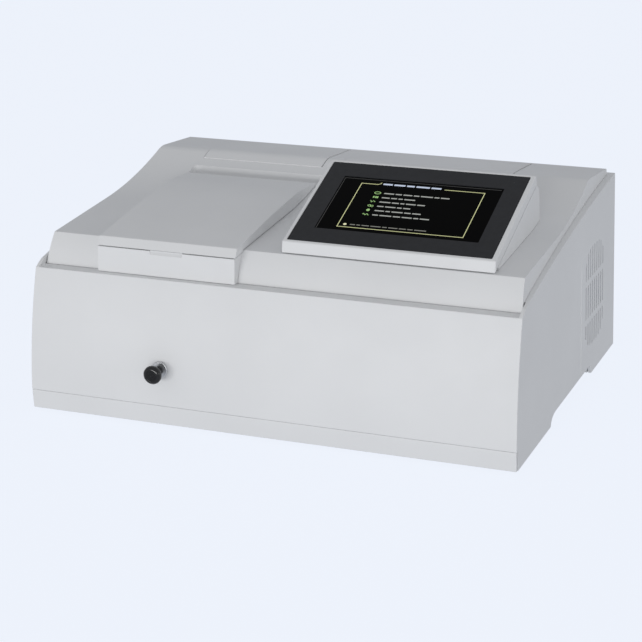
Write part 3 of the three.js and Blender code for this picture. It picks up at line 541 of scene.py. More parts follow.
def front_bulge(count=28):
    """The front panel from its top edge down to the strip, bulging forwards."""
    return curve_points((PANEL_TOP_Y, LEDGE), (0.4, 74.0), (-1.0, 15.0), count)


def housing_outline():
    """Side outline of the housing, from the side's foot round the rear to the front."""
    rear_top = DEPTH - REAR_DRAFT * SEAM_END[1]
    line = side_foot_line()
    line.append((rear_top, seam_height(rear_top)))
    for i in range(24):
        y = 325.0 - (325.0 - SEAM_START[0] - 3) * i / 23
        line.append((y, seam_height(y)))
    line += curve_points((SEAM_START[0] + 1.5, seam_height(SEAM_START[0] + 1.5)), (25.0, 136.6),
                         (PANEL_TOP_Y, LEDGE), 6)[:-1]
    return line + front_bulge()


def housing_room():
    """The space inside the housing, open downwards."""
    rear = DEPTH - WALL
    rear_top = rear - REAR_DRAFT * SEAM_END[1]
    line = [(WALL, -10.0), (rear, -10.0), (rear, 0.0), (rear_top, seam_height(rear_top) - WALL)]
    line += [(y, seam_height(y) - WALL) for y in (290, 240, 190, 140, 90, 50)]
    line += [(SEAM_START[0] + WALL, LEDGE), (PANEL_TOP_Y + WALL, LEDGE - WALL)]
    return line + [(y + WALL, z) for y, z in front_bulge(12)[1:]]


def slot_cutter(y, z0, z1, width, x0, x1):
    """An upright slot with round ends, cut along x."""
    radius = width / 2
    line = []
    for i in range(9):
        angle = math.pi * i / 8
        line.append((y + radius * math.cos(angle), z1 - radius + radius * math.sin(angle)))
    for i in range(9):
        angle = math.pi * (1 + i / 8)
        line.append((y + radius * math.cos(angle), z0 + radius + radius * math.sin(angle)))
    return carried(line, x0, x1)


def vent_cutters():
    """The slots of the oval vent field, each broken by two ribs."""
    cutters = []
    for i in range(VENT_SLOTS):
        offset = (i - (VENT_SLOTS - 1) / 2) * VENT_PITCH
        reach = VENT_REACH * math.sqrt(1 - (offset / VENT_FIELD_HALF) ** 4)
        stops = [FAN_Z - reach]
        for rib in VENT_RIBS:
            stops += [rib - VENT_RIB_HALF, rib + VENT_RIB_HALF]
        stops.append(FAN_Z + reach)
        for low, high in zip(stops[::2], stops[1::2]):
            y = FAN_Y + offset
            cutters.append(slot_cutter(y, low, high, VENT_WIDTH, HALF - 15, HALF + 5))
    return cutters


def build_housing():
    """The housing: an open shell with a ledge, a mouth for the cover, vents and a rod hole."""
    shape = carried(housing_outline(), lambda z: -housing_half(z), housing_half)
    rounded(shape, 0.6, 3, angle=25.0)
    room_half = lambda z: housing_half(z) - WALL
    tray_half = HALF - WALL - 0.4
    ledge_half = HALF - SIDE_DRAFT * LEDGE - 3.3
    mouth = HALF - 12
    hole = [(0, -10), (ROD_HOLE, -10), (ROD_HOLE, 20), (0, 20)]
    cutters = [
        carried(housing_room(), lambda z: -room_half(z), room_half),
        block(-mouth, mouth, 35, 334, 100, 250),
        rounded(block(-ledge_half, ledge_half, 5, 40, LEDGE, 200), 0.4, 2),
        block(-tray_half, tray_half, -5, 20, -5, TRAY_SEAM),
        block(-HALF - 5, HALF + 5, -5, WALL + 0.4, -5, TRAY_SEAM),
        block(-tray_half, tray_half, 325, DEPTH + 5, -5, TRAY_SEAM),
        rounded(block(-205, 205, 325, DEPTH + 5, 25, 150), 4.0, 4, lambda _, e: span(e).y > 5),
        turned(hole, "y", (ROD_X, 0, ROD_Z), 48),
        *vent_cutters(),
    ]
    shape = combined(shape, cutters)
    shape = combined(shape, [side_bead()], "UNION")
    piece("housing_shell", shape, replaces="lower_housing", edge=0.35)


def side_bead():
    """A low upright bead on the right wall, in front of the vents."""
    low, high, y = 13.0, 124.0, 215.0
    bead = bmesh.new()
    rings = []
    for z in (low, low + 2, high - 2, high):
        reach = 0.0 if z in (low, high) else 0.5
        wall = housing_half(z)
        rings.append([bead.verts.new(corner) for corner in (
            (wall - 1.0, y - 1.6, z), (wall + reach, y - 0.5, z), (wall + reach, y + 0.5, z),
            (wall - 1.0, y + 1.6, z),
        )])
    for lower, upper in zip(rings, rings[1:]):
        for i in range(4):
            j = (i + 1) % 4
            bead.faces.new((lower[i], lower[j], upper[j], upper[i]))
    bead.faces.new(rings[0])
    bead.faces.new(rings[-1])
    bmesh.ops.recalc_face_normals(bead, faces=bead.faces)
    return bead


TRAY_SCREWS = [(x, y) for x in (-150.0, 0.0, 150.0) for y in (22.0, 325.0)]


def build_tray():
    """The base tray: front strip, flat underside with an arched middle, rear strip."""
    top = TRAY_SEAM - 0.3
    skin = 2.5
    line = [(WALL, 0.0), *side_foot_line()[1:], (DEPTH - REAR_DRAFT * top, top), (DEPTH - WALL, top)]
    line += [(DEPTH - WALL, skin), (REAR_FOOT_START + skin, skin)]
    line += [(ARCH_END + skin, ARCH + skin), (ARCH_START, ARCH + skin)]
    line += curve_points((ARCH_START, ARCH + skin), (FRONT_FOOT_END, ARCH + skin),
                         (FRONT_FOOT_END - 3, skin), 10)[1:]
    line += [(WALL, skin)]
    tray_half = HALF - WALL - 1.0
    shape = carried(line, -tray_half, tray_half)
    strip_half = HALF - 0.6
    strip = [(0.0, 0.0), (WALL, 0.0), (WALL, top), (-0.9, top), (-1.0, 15.0)]
    strip = rounded(carried(strip, -strip_half, strip_half), 0.7, 3, angle=25.0)
    shape = combined(shape, [strip], "UNION")
    foot_hole = [(0, -1), (3.3, -1), (3.3, 5), (0, 5)]
    counterbore = [(0, -1), (4.6, -1), (4.6, 1.4), (0, 1.4)]
    cutters = [turned(foot_hole, "z", (x, y, 0), 32) for x, y in foot_places()]
    cutters += [turned(counterbore, "z", (x, y, 0), 32) for x, y in TRAY_SCREWS]
    for side in (-1, 1):
        for i in range(9):
            y = 140.0 + 11.0 * i
            vent = block(side * 95 - 32, side * 95 + 32, y, y + 3.6, 5, 15)
            cutters.append(rounded(vent, 1.7, 4, lambda _, e: span(e).z > 5))
    shape = combined(shape, cutters)
    piece("base_tray_shell", shape, replaces="base_tray", edge=0.3)
    heads = [screw_head(x, y) for x, y in TRAY_SCREWS]
    for i, head in enumerate(heads):
        piece(f"tray_screw_{i + 1}", head, "steel")


def foot_places():
    return [(x, y) for x in (-200.0, 200.0) for y in (40.0, 300.0)]


def screw_head(x, y):
    """A pan-head screw facing down, with a cross recess."""
    profile = [(0, 0.25), (1.6, 0.3), (2.9, 0.7), (3.4, 1.3), (3.4, 1.39), (0, 1.39)]
    head = turned(profile, "z", (x, y, 0), 40)
    long, thin = 1.9, 0.35
    cross = [
        block(x - long, x + long, y - thin, y + thin, -1, 1.0),
        block(x - thin, x + thin, y - long, y + long, -1, 1.0),
    ]
    return combined(head, cross)


def build_feet():
    """Turned rubber feet with a rounded tread and a hollow stem."""
    profile = [
        (0, 1.2), (2.6, 1.2), (2.6, -1.6), (3.4, -2.4), (4.6, -3.0), (9.4, -3.0), (10.3, -2.6), (10.7, -1.8),
        (10.9, -0.6), (10.9, -0.1), (3.0, -0.1), (3.0, 4.6), (0, 4.6),
    ]
    names = ("foot_front_left", "foot_rear_left", "foot_front_right", "foot_rear_right")
    for name, (x, y) in zip(names, foot_places()):
        piece(name + "_pad", turned(profile, "z", (x, y, 0)), "rubber", replaces=name)


# ---- top cover and hatches

GAP = 0.3
RECESS = {"left": -172.6, "right": -33.3, "front": 211.0, "floor": 170.8, "toe": 234.5, "brow": 239.3}
MOUTH = {"left": -158.0, "right": -48.0, "front": 54.0, "rear": 202.0}
HATCHES = {"lamp_hatch": (-169.0, -41.5), "optics_hatch": (-22.0, 150.0)}
HATCH_FRONT, HATCH_REAR = 253.2, 333.0
CABLE_SLOT = (88.0, 114.0, 116.0, 126.0)
HINGE_Y, HINGE_Z = 222.5, 173.8
HINGE_STATIONS = (-150.0, -56.0)


def cover_outline():
    """Side outline of the cover, down to the bowed seam."""
    start = LEDGE - 0.4
    line = curve_points((31.3, start), (36.5, 147.5), COVER_FRONT, 14)
    line += cover_line(COVER_FRONT[0], COVER_REAR[0])[1:]
    line.append((COVER_REAR[0] + 0.3, seam_height(COVER_REAR[0]) + GAP))
    for i in range(22):
        y = 325.0 - (325.0 - 38.0) * i / 21
        line.append((y, seam_height(y) + GAP))
    return line + [(35.0, start)]


def cover_room():
    """The space under the cover, open downwards."""
    inset = WALL
    start = LEDGE + GAP
    line = [(31.3 + inset, 100.0)]
    line += curve_points((31.3 + inset, start), (36.5 + inset, 147.5),
                         (COVER_FRONT[0] + inset, COVER_FRONT[1] - inset + 0.2), 8)
    line += cover_line(COVER_FRONT[0] + inset + 1, COVER_REAR[0] - inset, -inset)[1:]
    return line + [(COVER_REAR[0] - inset + 0.3, 100.0)]


def cover_sheet(x0, x1, y0, y1, lower, upper):
    """A sheet lying along the cover's top, between two offsets from it."""
    return carried([*cover_line(y0, y1, lower), *cover_line(y0, y1, upper)[::-1]], x0, x1)


def recess_pocket(grow):
    """The hollow behind the lid that lets its rear edge swing down."""
    brow = cover_height(RECESS["brow"])
    lift = -0.5 if grow else 0.0
    line = [
        (RECESS["front"] - grow, RECESS["floor"] - grow),
        (RECESS["toe"] + grow * 0.5, RECESS["floor"] - grow),
        (RECESS["brow"] + grow, brow + lift),
        (RECESS["brow"] + grow * 0.9, brow + (lift or 24.0)),
        (RECESS["front"] - grow, cover_height(RECESS["front"]) - 0.5 if grow else 202.0),
    ]
    shape = carried(line, RECESS["left"] - grow, RECESS["right"] + grow)
    return shape if grow else rounded(shape, 3.0, 5)


def hinge_ears():
    """Pairs of round-topped ears in the recess that hold the lid's hinge pins."""
    ears = []
    for x in HINGE_STATIONS:
        for side in (-5.4, 5.4):
            line = [(HINGE_Y + 2.5, RECESS["floor"] - 1), (HINGE_Y + 2.5, HINGE_Z)]
            for i in range(1, 12):
                angle = math.pi * i / 12
                line.append((HINGE_Y + 2.5 * math.cos(angle), HINGE_Z + 2.5 * math.sin(angle)))
            line += [(HINGE_Y - 2.5, HINGE_Z), (HINGE_Y - 2.5, RECESS["floor"] - 1)]
            ears.append(carried(line, x + side - 1.5, x + side + 1.5))
    return ears


def pin_bore():
    """The bore through ears and knuckles for the hinge pins."""
    return turned([(0, -190), (1.3, -190), (1.3, -20), (0, -20)], "x", (0, HINGE_Y, HINGE_Z), 32)


def build_cover():
    """The top cover with the lid's recess, the hatch pockets, the mouth and the hinge ears."""
    shape = carried(cover_outline(), lambda z: -cover_half(z), cover_half)

    def outer(middle, _):
        if middle.y < 50:
            return middle.z > LEDGE + 1.5
        return middle.z > seam_height(middle.y) + 1.2

    rounded(shape, 1.2, 4, outer)
    room_half = lambda z: cover_half(z) - WALL
    shape = combined(shape, [carried(cover_room(), lambda z: -room_half(z), room_half)])
    under = [recess_pocket(WALL)]
    cuts = [recess_pocket(0.0)]
    for left, right in HATCHES.values():
        under.append(cover_sheet(left - 4, right + 4, HATCH_FRONT - 4, HATCH_REAR, -5.5, -2.0))
        pocket = cover_sheet(left - 0.9, right + 0.9, HATCH_FRONT - 0.4, HATCH_REAR + 0.4, -2.8, 20)
        cuts.append(rounded(pocket, 2.4, 4, lambda _, e: span(e).z > 12))
        cuts.append(cover_sheet(left + 4, right - 4, HATCH_FRONT + 4, HATCH_REAR - 6, -20, 20))
    mouth = block(MOUTH["left"], MOUTH["right"], MOUTH["front"], MOUTH["rear"], 100, 250)
    cuts.append(rounded(mouth, 5.0, 5, lambda _, e: span(e).z > 50))
    slot_left, slot_right, slot_front, slot_rear = CABLE_SLOT
    slot = block(slot_left, slot_right, slot_front, slot_rear, 100, 250)
    cuts.append(rounded(slot, 2.0, 4, lambda _, e: span(e).z > 50))
    shape = combined(shape, under, "UNION")
    shape = combined(shape, cuts)
    shape = combined(shape, hinge_ears(), "UNION")
    shape = combined(shape, [pin_bore()])
    piece("top_cover_shell", shape, replaces="top_cover", edge=0.3)


def build_hatches():
    """The two loose covers in the rear deck, with clips underneath."""
    for name, (left, right) in HATCHES.items():
        plate = cover_sheet(left, right, HATCH_FRONT, HATCH_REAR, -2.5, 0.6)
        rounded(plate, 2.0, 4, lambda _, e: span(e).z < 6 and span(e).x < 0.5 and span(e).y < 1.5)
        rounded(plate, 0.6, 3, lambda m, _: m.z > cover_height(m.y) - 1.0)
        clips = []
        for x in (left + 25, right - 25):
            for y in (HATCH_FRONT + 10, HATCH_REAR - 16):
                clips.append(block(x - 6, x + 6, y, y + 1.6, cover_height(y) - 9, cover_height(y) - 1))
        plate = combined(plate, clips, "UNION")
        piece(name + "_plate", plate, body=name, replaces=name)


# ---- sample lid and its surround

LID_LEFT, LID_RIGHT = -171.7, -34.2
LID_SHELL = 2.5
LID_KNOTS = [(32.0, 164.5), (80.0, 170.6), (130.0, 176.0), (180.0, 179.3), (219.5, 176.8)]
NOTCH_CENTRE, NOTCH_HALF = -102.5, 16.5
FASCIA_TOP = 156.0


def lid_crown():
    return spline_points(LID_KNOTS, 10)


def crown_height(y):
    crown = lid_crown()
    for (y0, z0), (y1, z1) in zip(crown, crown[1:]):
        if y0 <= y <= y1:
            return z0 + (z1 - z0) * (y - y0) / (y1 - y0)
    return crown[0][1] if y < crown[0][0] else crown[-1][1]


def lid_outline():
    """Side outline of the lid, whose underside follows the cover."""
    line = [(26.4, 156.8), (43.0, 158.2), (COVER_FRONT[0], COVER_FRONT[1] + 0.8)]
    line += cover_line(SWEEP_START, 212.0, 0.8)
    line += [(213.8, 172.5), (219.5, 172.5)]
    line += lid_crown()[::-1]
    return line + curve_points((32.0, 164.5), (31.4, 164.4), (31.0, 163.6), 6)[1:]


def lid_room():
    crown = [(y, z - LID_SHELL) for y, z in lid_crown() if 36 < y < 216]
    line = [(29.4, 140.0), (217.0, 140.0), (217.0, 174.3), *crown[::-1], (34.0, 161.8), (29.4, 156.0)]
    return carried(line, LID_LEFT + LID_SHELL, LID_RIGHT - LID_SHELL)


def lid_baffle():
    """A rib frame inside the lid that drops around the rubber seal, and two stiffening ribs."""
    def slab(x0, x1, y0, y1, depth):
        low = cover_line(y0, y1, depth)
        high = [(y, crown_height(y) - 1.2) for y in (y0, *[y0 + (y1 - y0) * i / 8 for i in range(1, 8)], y1)]
        return carried([*low, *high[::-1]], x0, x1)

    ring = combined(slab(-166.5, -39.5, 46.0, 209.5, 3.0), [slab(-164.7, -41.3, 47.8, 207.7, -9.0)])
    return [ring, slab(-126.0, -124.4, 47.0, 208.0, 4.4), slab(-81.6, -80.0, 47.0, 208.0, 4.4)]


def build_lid():
    """The hinged lid: a hollow shell with a seal frame, ribs and hinge knuckles."""
    shape = carried(lid_outline(), LID_LEFT, LID_RIGHT)
    rounded(shape, 1.5, 4, lambda m, e: m.z > 160 and span(e).x < 1 and m.z > crown_height(m.y) - 3)
    rounded(shape, 0.3, 2, lambda m, e: span(e).x > 100 and m.z < 158 and m.y < 30)
    shape = combined(shape, [lid_room()])
    shape = combined(shape, lid_baffle(), "UNION")
    knuckles = []
    barrel = [(0, -3.5), (2.5, -3.5), (2.5, 3.5), (0, 3.5)]
    for x in HINGE_STATIONS:
        knuckles.append(block(x - 3.5, x + 3.5, 217.5, HINGE_Y, 172.5, 174.8))
        knuckles.append(turned(barrel, "x", (x, HINGE_Y, HINGE_Z), 40))
    shape = combined(shape, knuckles, "UNION")
    shape = combined(shape, [pin_bore()])
    piece("sample_lid_shell", shape, body="lid", replaces="sample_lid", edge=0.25)


def build_fascia():
    """The panel below the lid's front edge, with a shallow finger notch."""
    left, right = LID_LEFT + 0.5, LID_RIGHT - 0.5
    start = LEDGE + 0.4
    line = [(24.6, start), (30.6, start)]
    line += [(y - GAP, z) for y, z in curve_points((31.3, start), (36.5, 147.5), (44.6, 157.4), 10)]
    line += [(43.0, 157.2), (26.0, FASCIA_TOP)]
    shape = carried(line, left, right)
    rounded(shape, 0.3, 2, lambda m, _: m.y < 28 and m.z > 150)
    scoop = [(20.0, 150.4), (25.4, 152.0), (28.0, 155.4), (28.2, 170.0), (20.0, 170.0)]
    notch = carried(scoop, NOTCH_CENTRE - NOTCH_HALF, NOTCH_CENTRE + NOTCH_HALF)
    rounded(notch, 1.4, 4, lambda m, _: m.y > 24)
    keep = block(left + 3, right - 3, 31.2, 60, 135.8, 153.0)
    shape = combined(shape, [keep, notch])
    piece("compartment_front", shape, replaces="compartment_fascia", edge=0.25)


def build_seal():
    """A hollow rubber tube seal around the compartment's mouth."""
    outer = cover_sheet(-163, -43, 49, 207, GAP, 2.4)
    rounded(outer, 3.5, 4, lambda m, e: span(e).z > 1.5 and upright_corners(m, e))
    ring = combined(outer, [cover_sheet(-159, -47, 53, 203, -5, 10)])
    rounded(ring, 0.7, 3, lambda m, _: m.z > cover_height(m.y) + 2.0, angle=60)
    piece("lid_seal_ring", ring, "rubber", replaces="lid_seal")


# ---- display

DISPLAY_LEFT, DISPLAY_RIGHT = 1.7, 199.6
DISPLAY_LOW, DISPLAY_HIGH = (49.0, 170.3), (173.0, 214.7)
TILT = math.atan2(DISPLAY_HIGH[1] - DISPLAY_LOW[1], DISPLAY_HIGH[0] - DISPLAY_LOW[0])
GLASS = {"left": 5.4, "right": 195.0, "low": 3.2, "high": 128.5, "thick": 1.8}
WINDOW = {"left": 23.8, "right": 176.7, "low": 24.0, "high": 107.4}
SCREEN_FACE = -0.75
BEZEL_LIP, BEZEL_HEEL = (54.5, 162.6), (176.3, 205.6)
TO_TILT = Matrix.Translation((0, *DISPLAY_LOW)) @ Matrix.Rotation(TILT, 4, "X")


def tilted(shape):
    """Moves a shape drawn flat (x, distance up the glass, height above it) onto the tilt."""
    shape.transform(TO_TILT)
    return shape


def upright_corners(_, edge):
    return span(edge).x < 0.1 and span(edge).y < 0.1


def build_bezel():
    """The frame round the glass, with a seat for it and an open middle."""
    line = [(47.2, 159.7), BEZEL_LIP, BEZEL_HEEL, DISPLAY_HIGH, DISPLAY_LOW]
    shape = rounded(carried(line, DISPLAY_LEFT, DISPLAY_RIGHT), 1.1, 4)
    seat = block(GLASS["left"] - GAP, GLASS["right"] + GAP, GLASS["low"] - GAP, GLASS["high"] + GAP, -2.1, 10)
    seat = tilted(rounded(seat, 1.2, 3, upright_corners))
    window = tilted(block(16, 188, 11, 118, -40, 10))
    shape = combined(shape, [seat, window])
    piece("display_bezel_frame", shape, replaces="display_bezel", edge=0.25)


def build_glass():
    """The touch glass with its dark border, the window in it and the display module behind."""
    glass = block(GLASS["left"], GLASS["right"], GLASS["low"], GLASS["high"], -GLASS["thick"], -0.1)
    rounded(glass, 1.0, 3, upright_corners)
    rounded(glass, 0.35, 2, lambda m, _: m.z > -0.5)
    window = block(WINDOW["left"], WINDOW["right"], WINDOW["low"], WINDOW["high"], -5, 5)
    shape = combined(glass, [rounded(window, 0.6, 2, upright_corners)])
    piece("touch_glass_border", tilted(shape), "touch_glass", replaces="display_glass")
    inset = 0.25
    pane = block(WINDOW["left"] + inset, WINDOW["right"] - inset, WINDOW["low"] + inset,
                 WINDOW["high"] - inset, -1.7, SCREEN_FACE)
    piece("display_window", tilted(rounded(pane, 0.15, 2)), "screen")
    panel = rounded(block(20, 184, 15, 108, -8.2, -2.2), 0.8, 2, upright_corners)
    piece("lcd_module", tilted(panel), "steel", replaces="lcd_panel")


def build_rear_shell():
    """The housing behind the display, hollow, with a row of slots in its rear wall."""
    lower = cover_line(58.0, 189.0, GAP)
    rear = [(188.6, 176.0), (186.6, 192.0)]
    rear += curve_points((185.6, 196.0), (184.6, 201.2), (179.5, 203.7), 8)
    line = [*lower, *rear, (176.6, 205.2), (58.0, 163.4)]
    left, right = DISPLAY_LEFT + 0.3, DISPLAY_RIGHT - 0.3
    shape = carried(line, left, right)
    rounded(shape, 1.6, 4, lambda m, _: m.y > 178 and cover_height(m.y) + 1.5 < m.z < 206)
    room = [
        (70.0, 163.4), (SWEEP_START, 167.8), (184.0, 171.6), (181.5, 194.5), (178.0, 200.0), (173.0, 240.0),
        (60.0, 190.0),
    ]
    parting = [BEZEL_LIP, BEZEL_HEEL, (173.0, 240.0), (40.0, 240.0)]
    cuts = [
        carried(room, DISPLAY_LEFT + 2.8, DISPLAY_RIGHT - 2.8),
        carried([(y, z - 0.6) for y, z in parting], -HALF, HALF),
        block(CABLE_SLOT[0], CABLE_SLOT[1], CABLE_SLOT[2], CABLE_SLOT[3], 150, 172),
    ]
    for i in range(11):
        x = 51.5 + 10 * i
        slot = block(x - 2, x + 2, 175, 200, 180, 194)
        cuts.append(rounded(slot, 1.4, 3, lambda _, e: span(e).y > 5))
    shape = combined(shape, cuts)
    piece("display_back_shell", shape, replaces="display_rear_shell", edge=0.25)


LIT_THICK = 0.06  # how far a lit mark stands over the screen


def screen_bar(shape, x0, x1, v0, v1):
    """Adds one thin lit bar to the screen."""
    lower = [shape.verts.new((x, v, SCREEN_FACE)) for x, v in ((x0, v0), (x1, v0), (x1, v1), (x0, v1))]
    upper = [shape.verts.new((*v.co.xy, SCREEN_FACE + LIT_THICK)) for v in lower]
    shape.faces.new(lower[::-1])
    shape.faces.new(upper)
    for i in range(4):
        j = (i + 1) % 4
        shape.faces.new((lower[i], lower[j], upper[j], upper[i]))


def screen_band(shape, points, width):
    """Adds a lit band along a line of points."""
    top = SCREEN_FACE + LIT_THICK
    ring = []
    count = len(points)
    for i, (x, v) in enumerate(points):
        before, after = points[max(0, i - 1)], points[min(count - 1, i + 1)]
        along = Vector((after[0] - before[0], after[1] - before[1])).normalized()
        side = Vector((-along.y, along.x)) * width / 2
        corners = [(x - side.x, v - side.y, SCREEN_FACE), (x + side.x, v + side.y, SCREEN_FACE)]
        corners += [(x + side.x, v + side.y, top), (x - side.x, v - side.y, top)]
        ring.append([shape.verts.new(corner) for corner in corners])
    for a, b in zip(ring, ring[1:]):
        for i in range(4):
            j = (i + 1) % 4
            shape.faces.new((a[i], a[j], b[j], b[i]))
    shape.faces.new(ring[0][::-1])
    shape.faces.new(ring[-1])


def arc(x, v, radius_x, radius_v, start, end, count=14):
    """Points of an elliptical arc between two angles in degrees."""
    points = []
    for i in range(count + 1):
        angle = math.radians(start + (end - start) * i / count)
        points.append((x + radius_x * math.cos(angle), v + radius_v * math.sin(angle)))
    return points


MENU = {"left": 43.2, "right": 160.8, "low": 30.0, "high": 98.6}
MENU_ROW_TOP, MENU_ROW_STEP = 85.5, 6.79
MENU_ROW_START = 69.4
MENU_ROWS = [
    (9.5, 6.0, 8.4, 5.2, 11.4, 4.6, 8.0), (7.4, 5.6, 4.0, 10.2), (10.4, 6.6, 3.8, 9.2, 7.2),
    (6.2, 9.8, 4.4, 6.6), (8.8, 4.2, 10.6, 6.0, 8.0), (5.4, 11.2, 6.8, 9.4, 4.6, 8.6),
]


def dashes(rows, height, gap=1.5):
    """Plain dashes in place of writing. A row is its left end, its place up the glass and its widths."""
    shape = bmesh.new()
    for x, v, widths in rows:
        for width in widths:
            screen_bar(shape, x, x + width, v - height / 2, v + height / 2)
            x += width + gap
    return shape


def menu_frame():
    """The menu's outline, open at the top for the heading."""
    shape = bmesh.new()
    left, right, low, high = (MENU[key] for key in ("left", "right", "low", "high"))
    half = 0.35
    screen_bar(shape, left - half, left + half, low, high)
    screen_bar(shape, right - half, right + half, low, high)
    screen_bar(shape, left - half, right + half, low - half, low + half)
    screen_bar(shape, left - half, 59.7, high - half, high + half)
    screen_bar(shape, 122.9, right + half, high - half, high + half)
    screen_band(shape, [(59.5, 98.8), (61.1, 99.8), (61.9, 101.6)], 0.7)
    return shape


def menu_icons():
    """Six plain pictograms: a rounded tag, blocks, a zigzag, rings, a drop and a wave."""
    shape = bmesh.new()
    x = 63.1
    rows = [MENU_ROW_TOP - MENU_ROW_STEP * i for i in range(6)]
    screen_band(shape, arc(x, rows[0], 2.9, 1.7, 0, 360, 20), 0.7)
    for step in (-1.6, 0.4, 2.0):
        screen_bar(shape, x + step - 0.6, x + step + 0.7, rows[1] - 1.2 - step * 0.1, rows[1] + 1.4)
    steps = ((-2.4, 1.3), (-1.0, -1.3), (0.4, 1.1), (2.2, -0.6))
    screen_band(shape, [(x + right, rows[2] + rise) for right, rise in steps], 0.8)
    screen_band(shape, arc(x - 1.2, rows[3] + 0.2, 1.3, 1.3, 0, 360), 0.6)
    screen_band(shape, arc(x + 1.4, rows[3] - 0.4, 1.2, 1.2, 0, 360), 0.6)
    screen_band(shape, arc(x, rows[4], 0.9, 1.1, 0, 360), 1.5)
    wave = [(x - 3.0 + 0.5 * i, rows[5] + 1.0 * math.sin(0.5 * i * math.pi / 1.6)) for i in range(13)]
    screen_band(shape, wave, 0.7)
    return shape


def menu_lamp():
    shape = bmesh.new()
    screen_band(shape, arc(49.4, 34.1, 0.9, 0.7, 0, 360), 1.4)
    return shape


def painted_window_glints():
    """A painted highlight: the lit rim of the window's lower-left glass edge, drawn as thin glowing bars seen
    as a thin grey line.
    """
    shape = bmesh.new()
    screen_bar(shape, 24.8, 25.2, 24.8, 105.2)
    screen_bar(shape, 24.8, 174.6, 104.9, 105.3)
    return shape


def build_screen_graphics():
    """Each drawing on the screen is a thin lit piece of its own colour; the glint among them is a painted
    highlight of the window's glass edge.
    """
    rows = [(MENU_ROW_START, MENU_ROW_TOP - MENU_ROW_STEP * i, words) for i, words in enumerate(MENU_ROWS)]
    heading = [(63.9, 99.7, (9.0, 10.6, 7.4, 12.8, 9.4))]
    footer = [(54.0, 34.4, (5.0, 3.4, 7.0, 9.6, 4.4, 8.6, 6.4, 5.0, 11.0))]
    drawings = {
        "screen_frame_line": (menu_frame(), (0.66, 0.68, 0.36), 1.0),
        "screen_icons": (menu_icons(), (0.40, 0.66, 0.26), 0.9),
        "screen_rows": (dashes(rows, 1.5), (0.50, 0.52, 0.49), 0.8),
        "screen_heading": (dashes(heading, 2.3, 1.6), (0.62, 0.70, 0.86), 0.9),
        "screen_footer": (dashes(footer, 1.1, 1.4), (0.40, 0.40, 0.36), 0.6),
        "screen_lamp": (menu_lamp(), (0.86, 0.86, 0.55), 1.0),
        # painted highlight: a glowing grey line standing in for the light caught by the window's glass edge
        "screen_painted_glint": (painted_window_glints(), (0.16, 0.16, 0.16), 0.5),
    }
    for name, (shape, colour, strength) in drawings.items():
        bmesh.ops.recalc_face_normals(shape, faces=shape.faces)
        piece(name, tilted(shape), glowing(name, colour, strength))


# ---- pull knob, bush and rod

KNOB_REACH = 18.0


def build_knob():
    """The turned knob: grooved rings on a slightly dished face, a waist and a collar."""
    face = []
    rings = 6
    for i in range(rings):
        inner, outer = 0.5 + 5.0 * i / rings, 0.5 + 5.0 * (i + 1) / rings
        groove = (outer - inner) * 0.3
        face += [(inner, 0.0), (outer - groove, 0.0), (outer - groove * 0.5, 0.22)]
    rise = [(radius, -KNOB_REACH + depth + 0.012 * radius * radius) for radius, depth in face]
    profile = [(0, -KNOB_REACH), *rise, (5.7, -17.55), (6.8, -17.2), (7.8, -16.5), (8.4, -15.4), (8.6, -14.2)]
    profile += [(8.5, -12.9), (8.0, -11.7), (7.0, -10.7), (5.6, -10.0), (4.7, -9.4), (4.3, -8.6)]
    profile += [(4.15, -7.4), (4.15, -4.9), (4.0, -4.5), (3.4, -4.5), (3.4, -3.9), (3.9, -3.7)]
    profile += [(3.9, -1.6), (3.7, -1.3), (3.3, -1.3), (3.3, -10.2), (0, -10.2)]
    shape = turned(profile, "y", (ROD_X, 0, ROD_Z), 96)
    piece("pull_knob_body", shape, "black_plastic", body="cell_changer", replaces="pull_knob", smooth=50)


def build_bush():
    """The flanged bush that the rod runs in."""
    bore = 3.3
    profile = [
        (bore, 0.1), (3.7, 0), (5.0, 0), (5.3, 0.2), (6.7, 0.25), (7.2, 0.4), (7.6, 0.85), (7.6, 1.3),
        (4.6, 1.3), (4.6, 9.0), (bore, 9.0), (bore, 0.1),
    ]
    shape = turned(profile, "y", (ROD_X, -0.6, ROD_Z), 96)
    bmesh.ops.remove_doubles(shape, verts=shape.verts, dist=1e-4)
    piece("rod_bush_ring", shape, "aluminium", replaces="rod_bush", smooth=50)


def build_rod():
    """The pull rod, with a rounded tip and four shallow click grooves, one per cell."""
    profile = [(0, -10.0), (2.7, -10.0), (3.0, -9.7)]
    for i in range(4):
        y = 76.0 + 5.0 * i
        profile += [(3.0, y - 0.8), (2.6, y), (3.0, y + 0.8)]
    profile += [(3.0, 117.6), (2.6, 118.0), (0, 118.0)]
    shape = turned(profile, "y", (ROD_X, 0, ROD_Z), 64)
    piece("pull_rod_bar", shape, "steel", body="cell_changer", replaces="pull_rod", smooth=40)


# ---- vent filter

def build_vent_filter():
    """A moulded grid behind the side slots: it stands inside the wall and clear of the fan."""
    left, right = 228.8, 229.9
    plate = block(left, right, FAN_Y - 39, FAN_Y + 39, FAN_Z - 50, FAN_Z + 52)
    piece("vent_grid", rounded(plate, 0.4, 2), MATERIALS["filter_mesh"])


# ---- assembly of the looks

def finish_cad_nodes():
    """Every CAD node that stays gets its slot's material and rounded edges."""
    slots = {part["node"]: part["material_slot"] for part in frame["record"]["subparts"]}
    for name, node in frame["nodes"].items():
        node.data.materials.clear()
        node.data.materials.append(MATERIALS[slots[name]])
        edge = node.modifiers.new("edge", "BEVEL")
        edge.width = 0.3 * MM
        edge.segments = 2
        edge.limit_method = "ANGLE"
        edge.angle_limit = math.radians(40)


# ---- stage, light and camera

FLOOR = (0.847, 0.887, 0.965)
FLOOR_GLOW = 0.95  # how bright the sheet looks
FLOOR_FILL = 0.47  # how brightly it lights the object
FLOOR_REACH, FLOOR_BACK, FLOOR_BEND, FLOOR_RISE = 6.0, 2.5, 1.5, 5.0
FLOOR_BEND_STEPS = 12


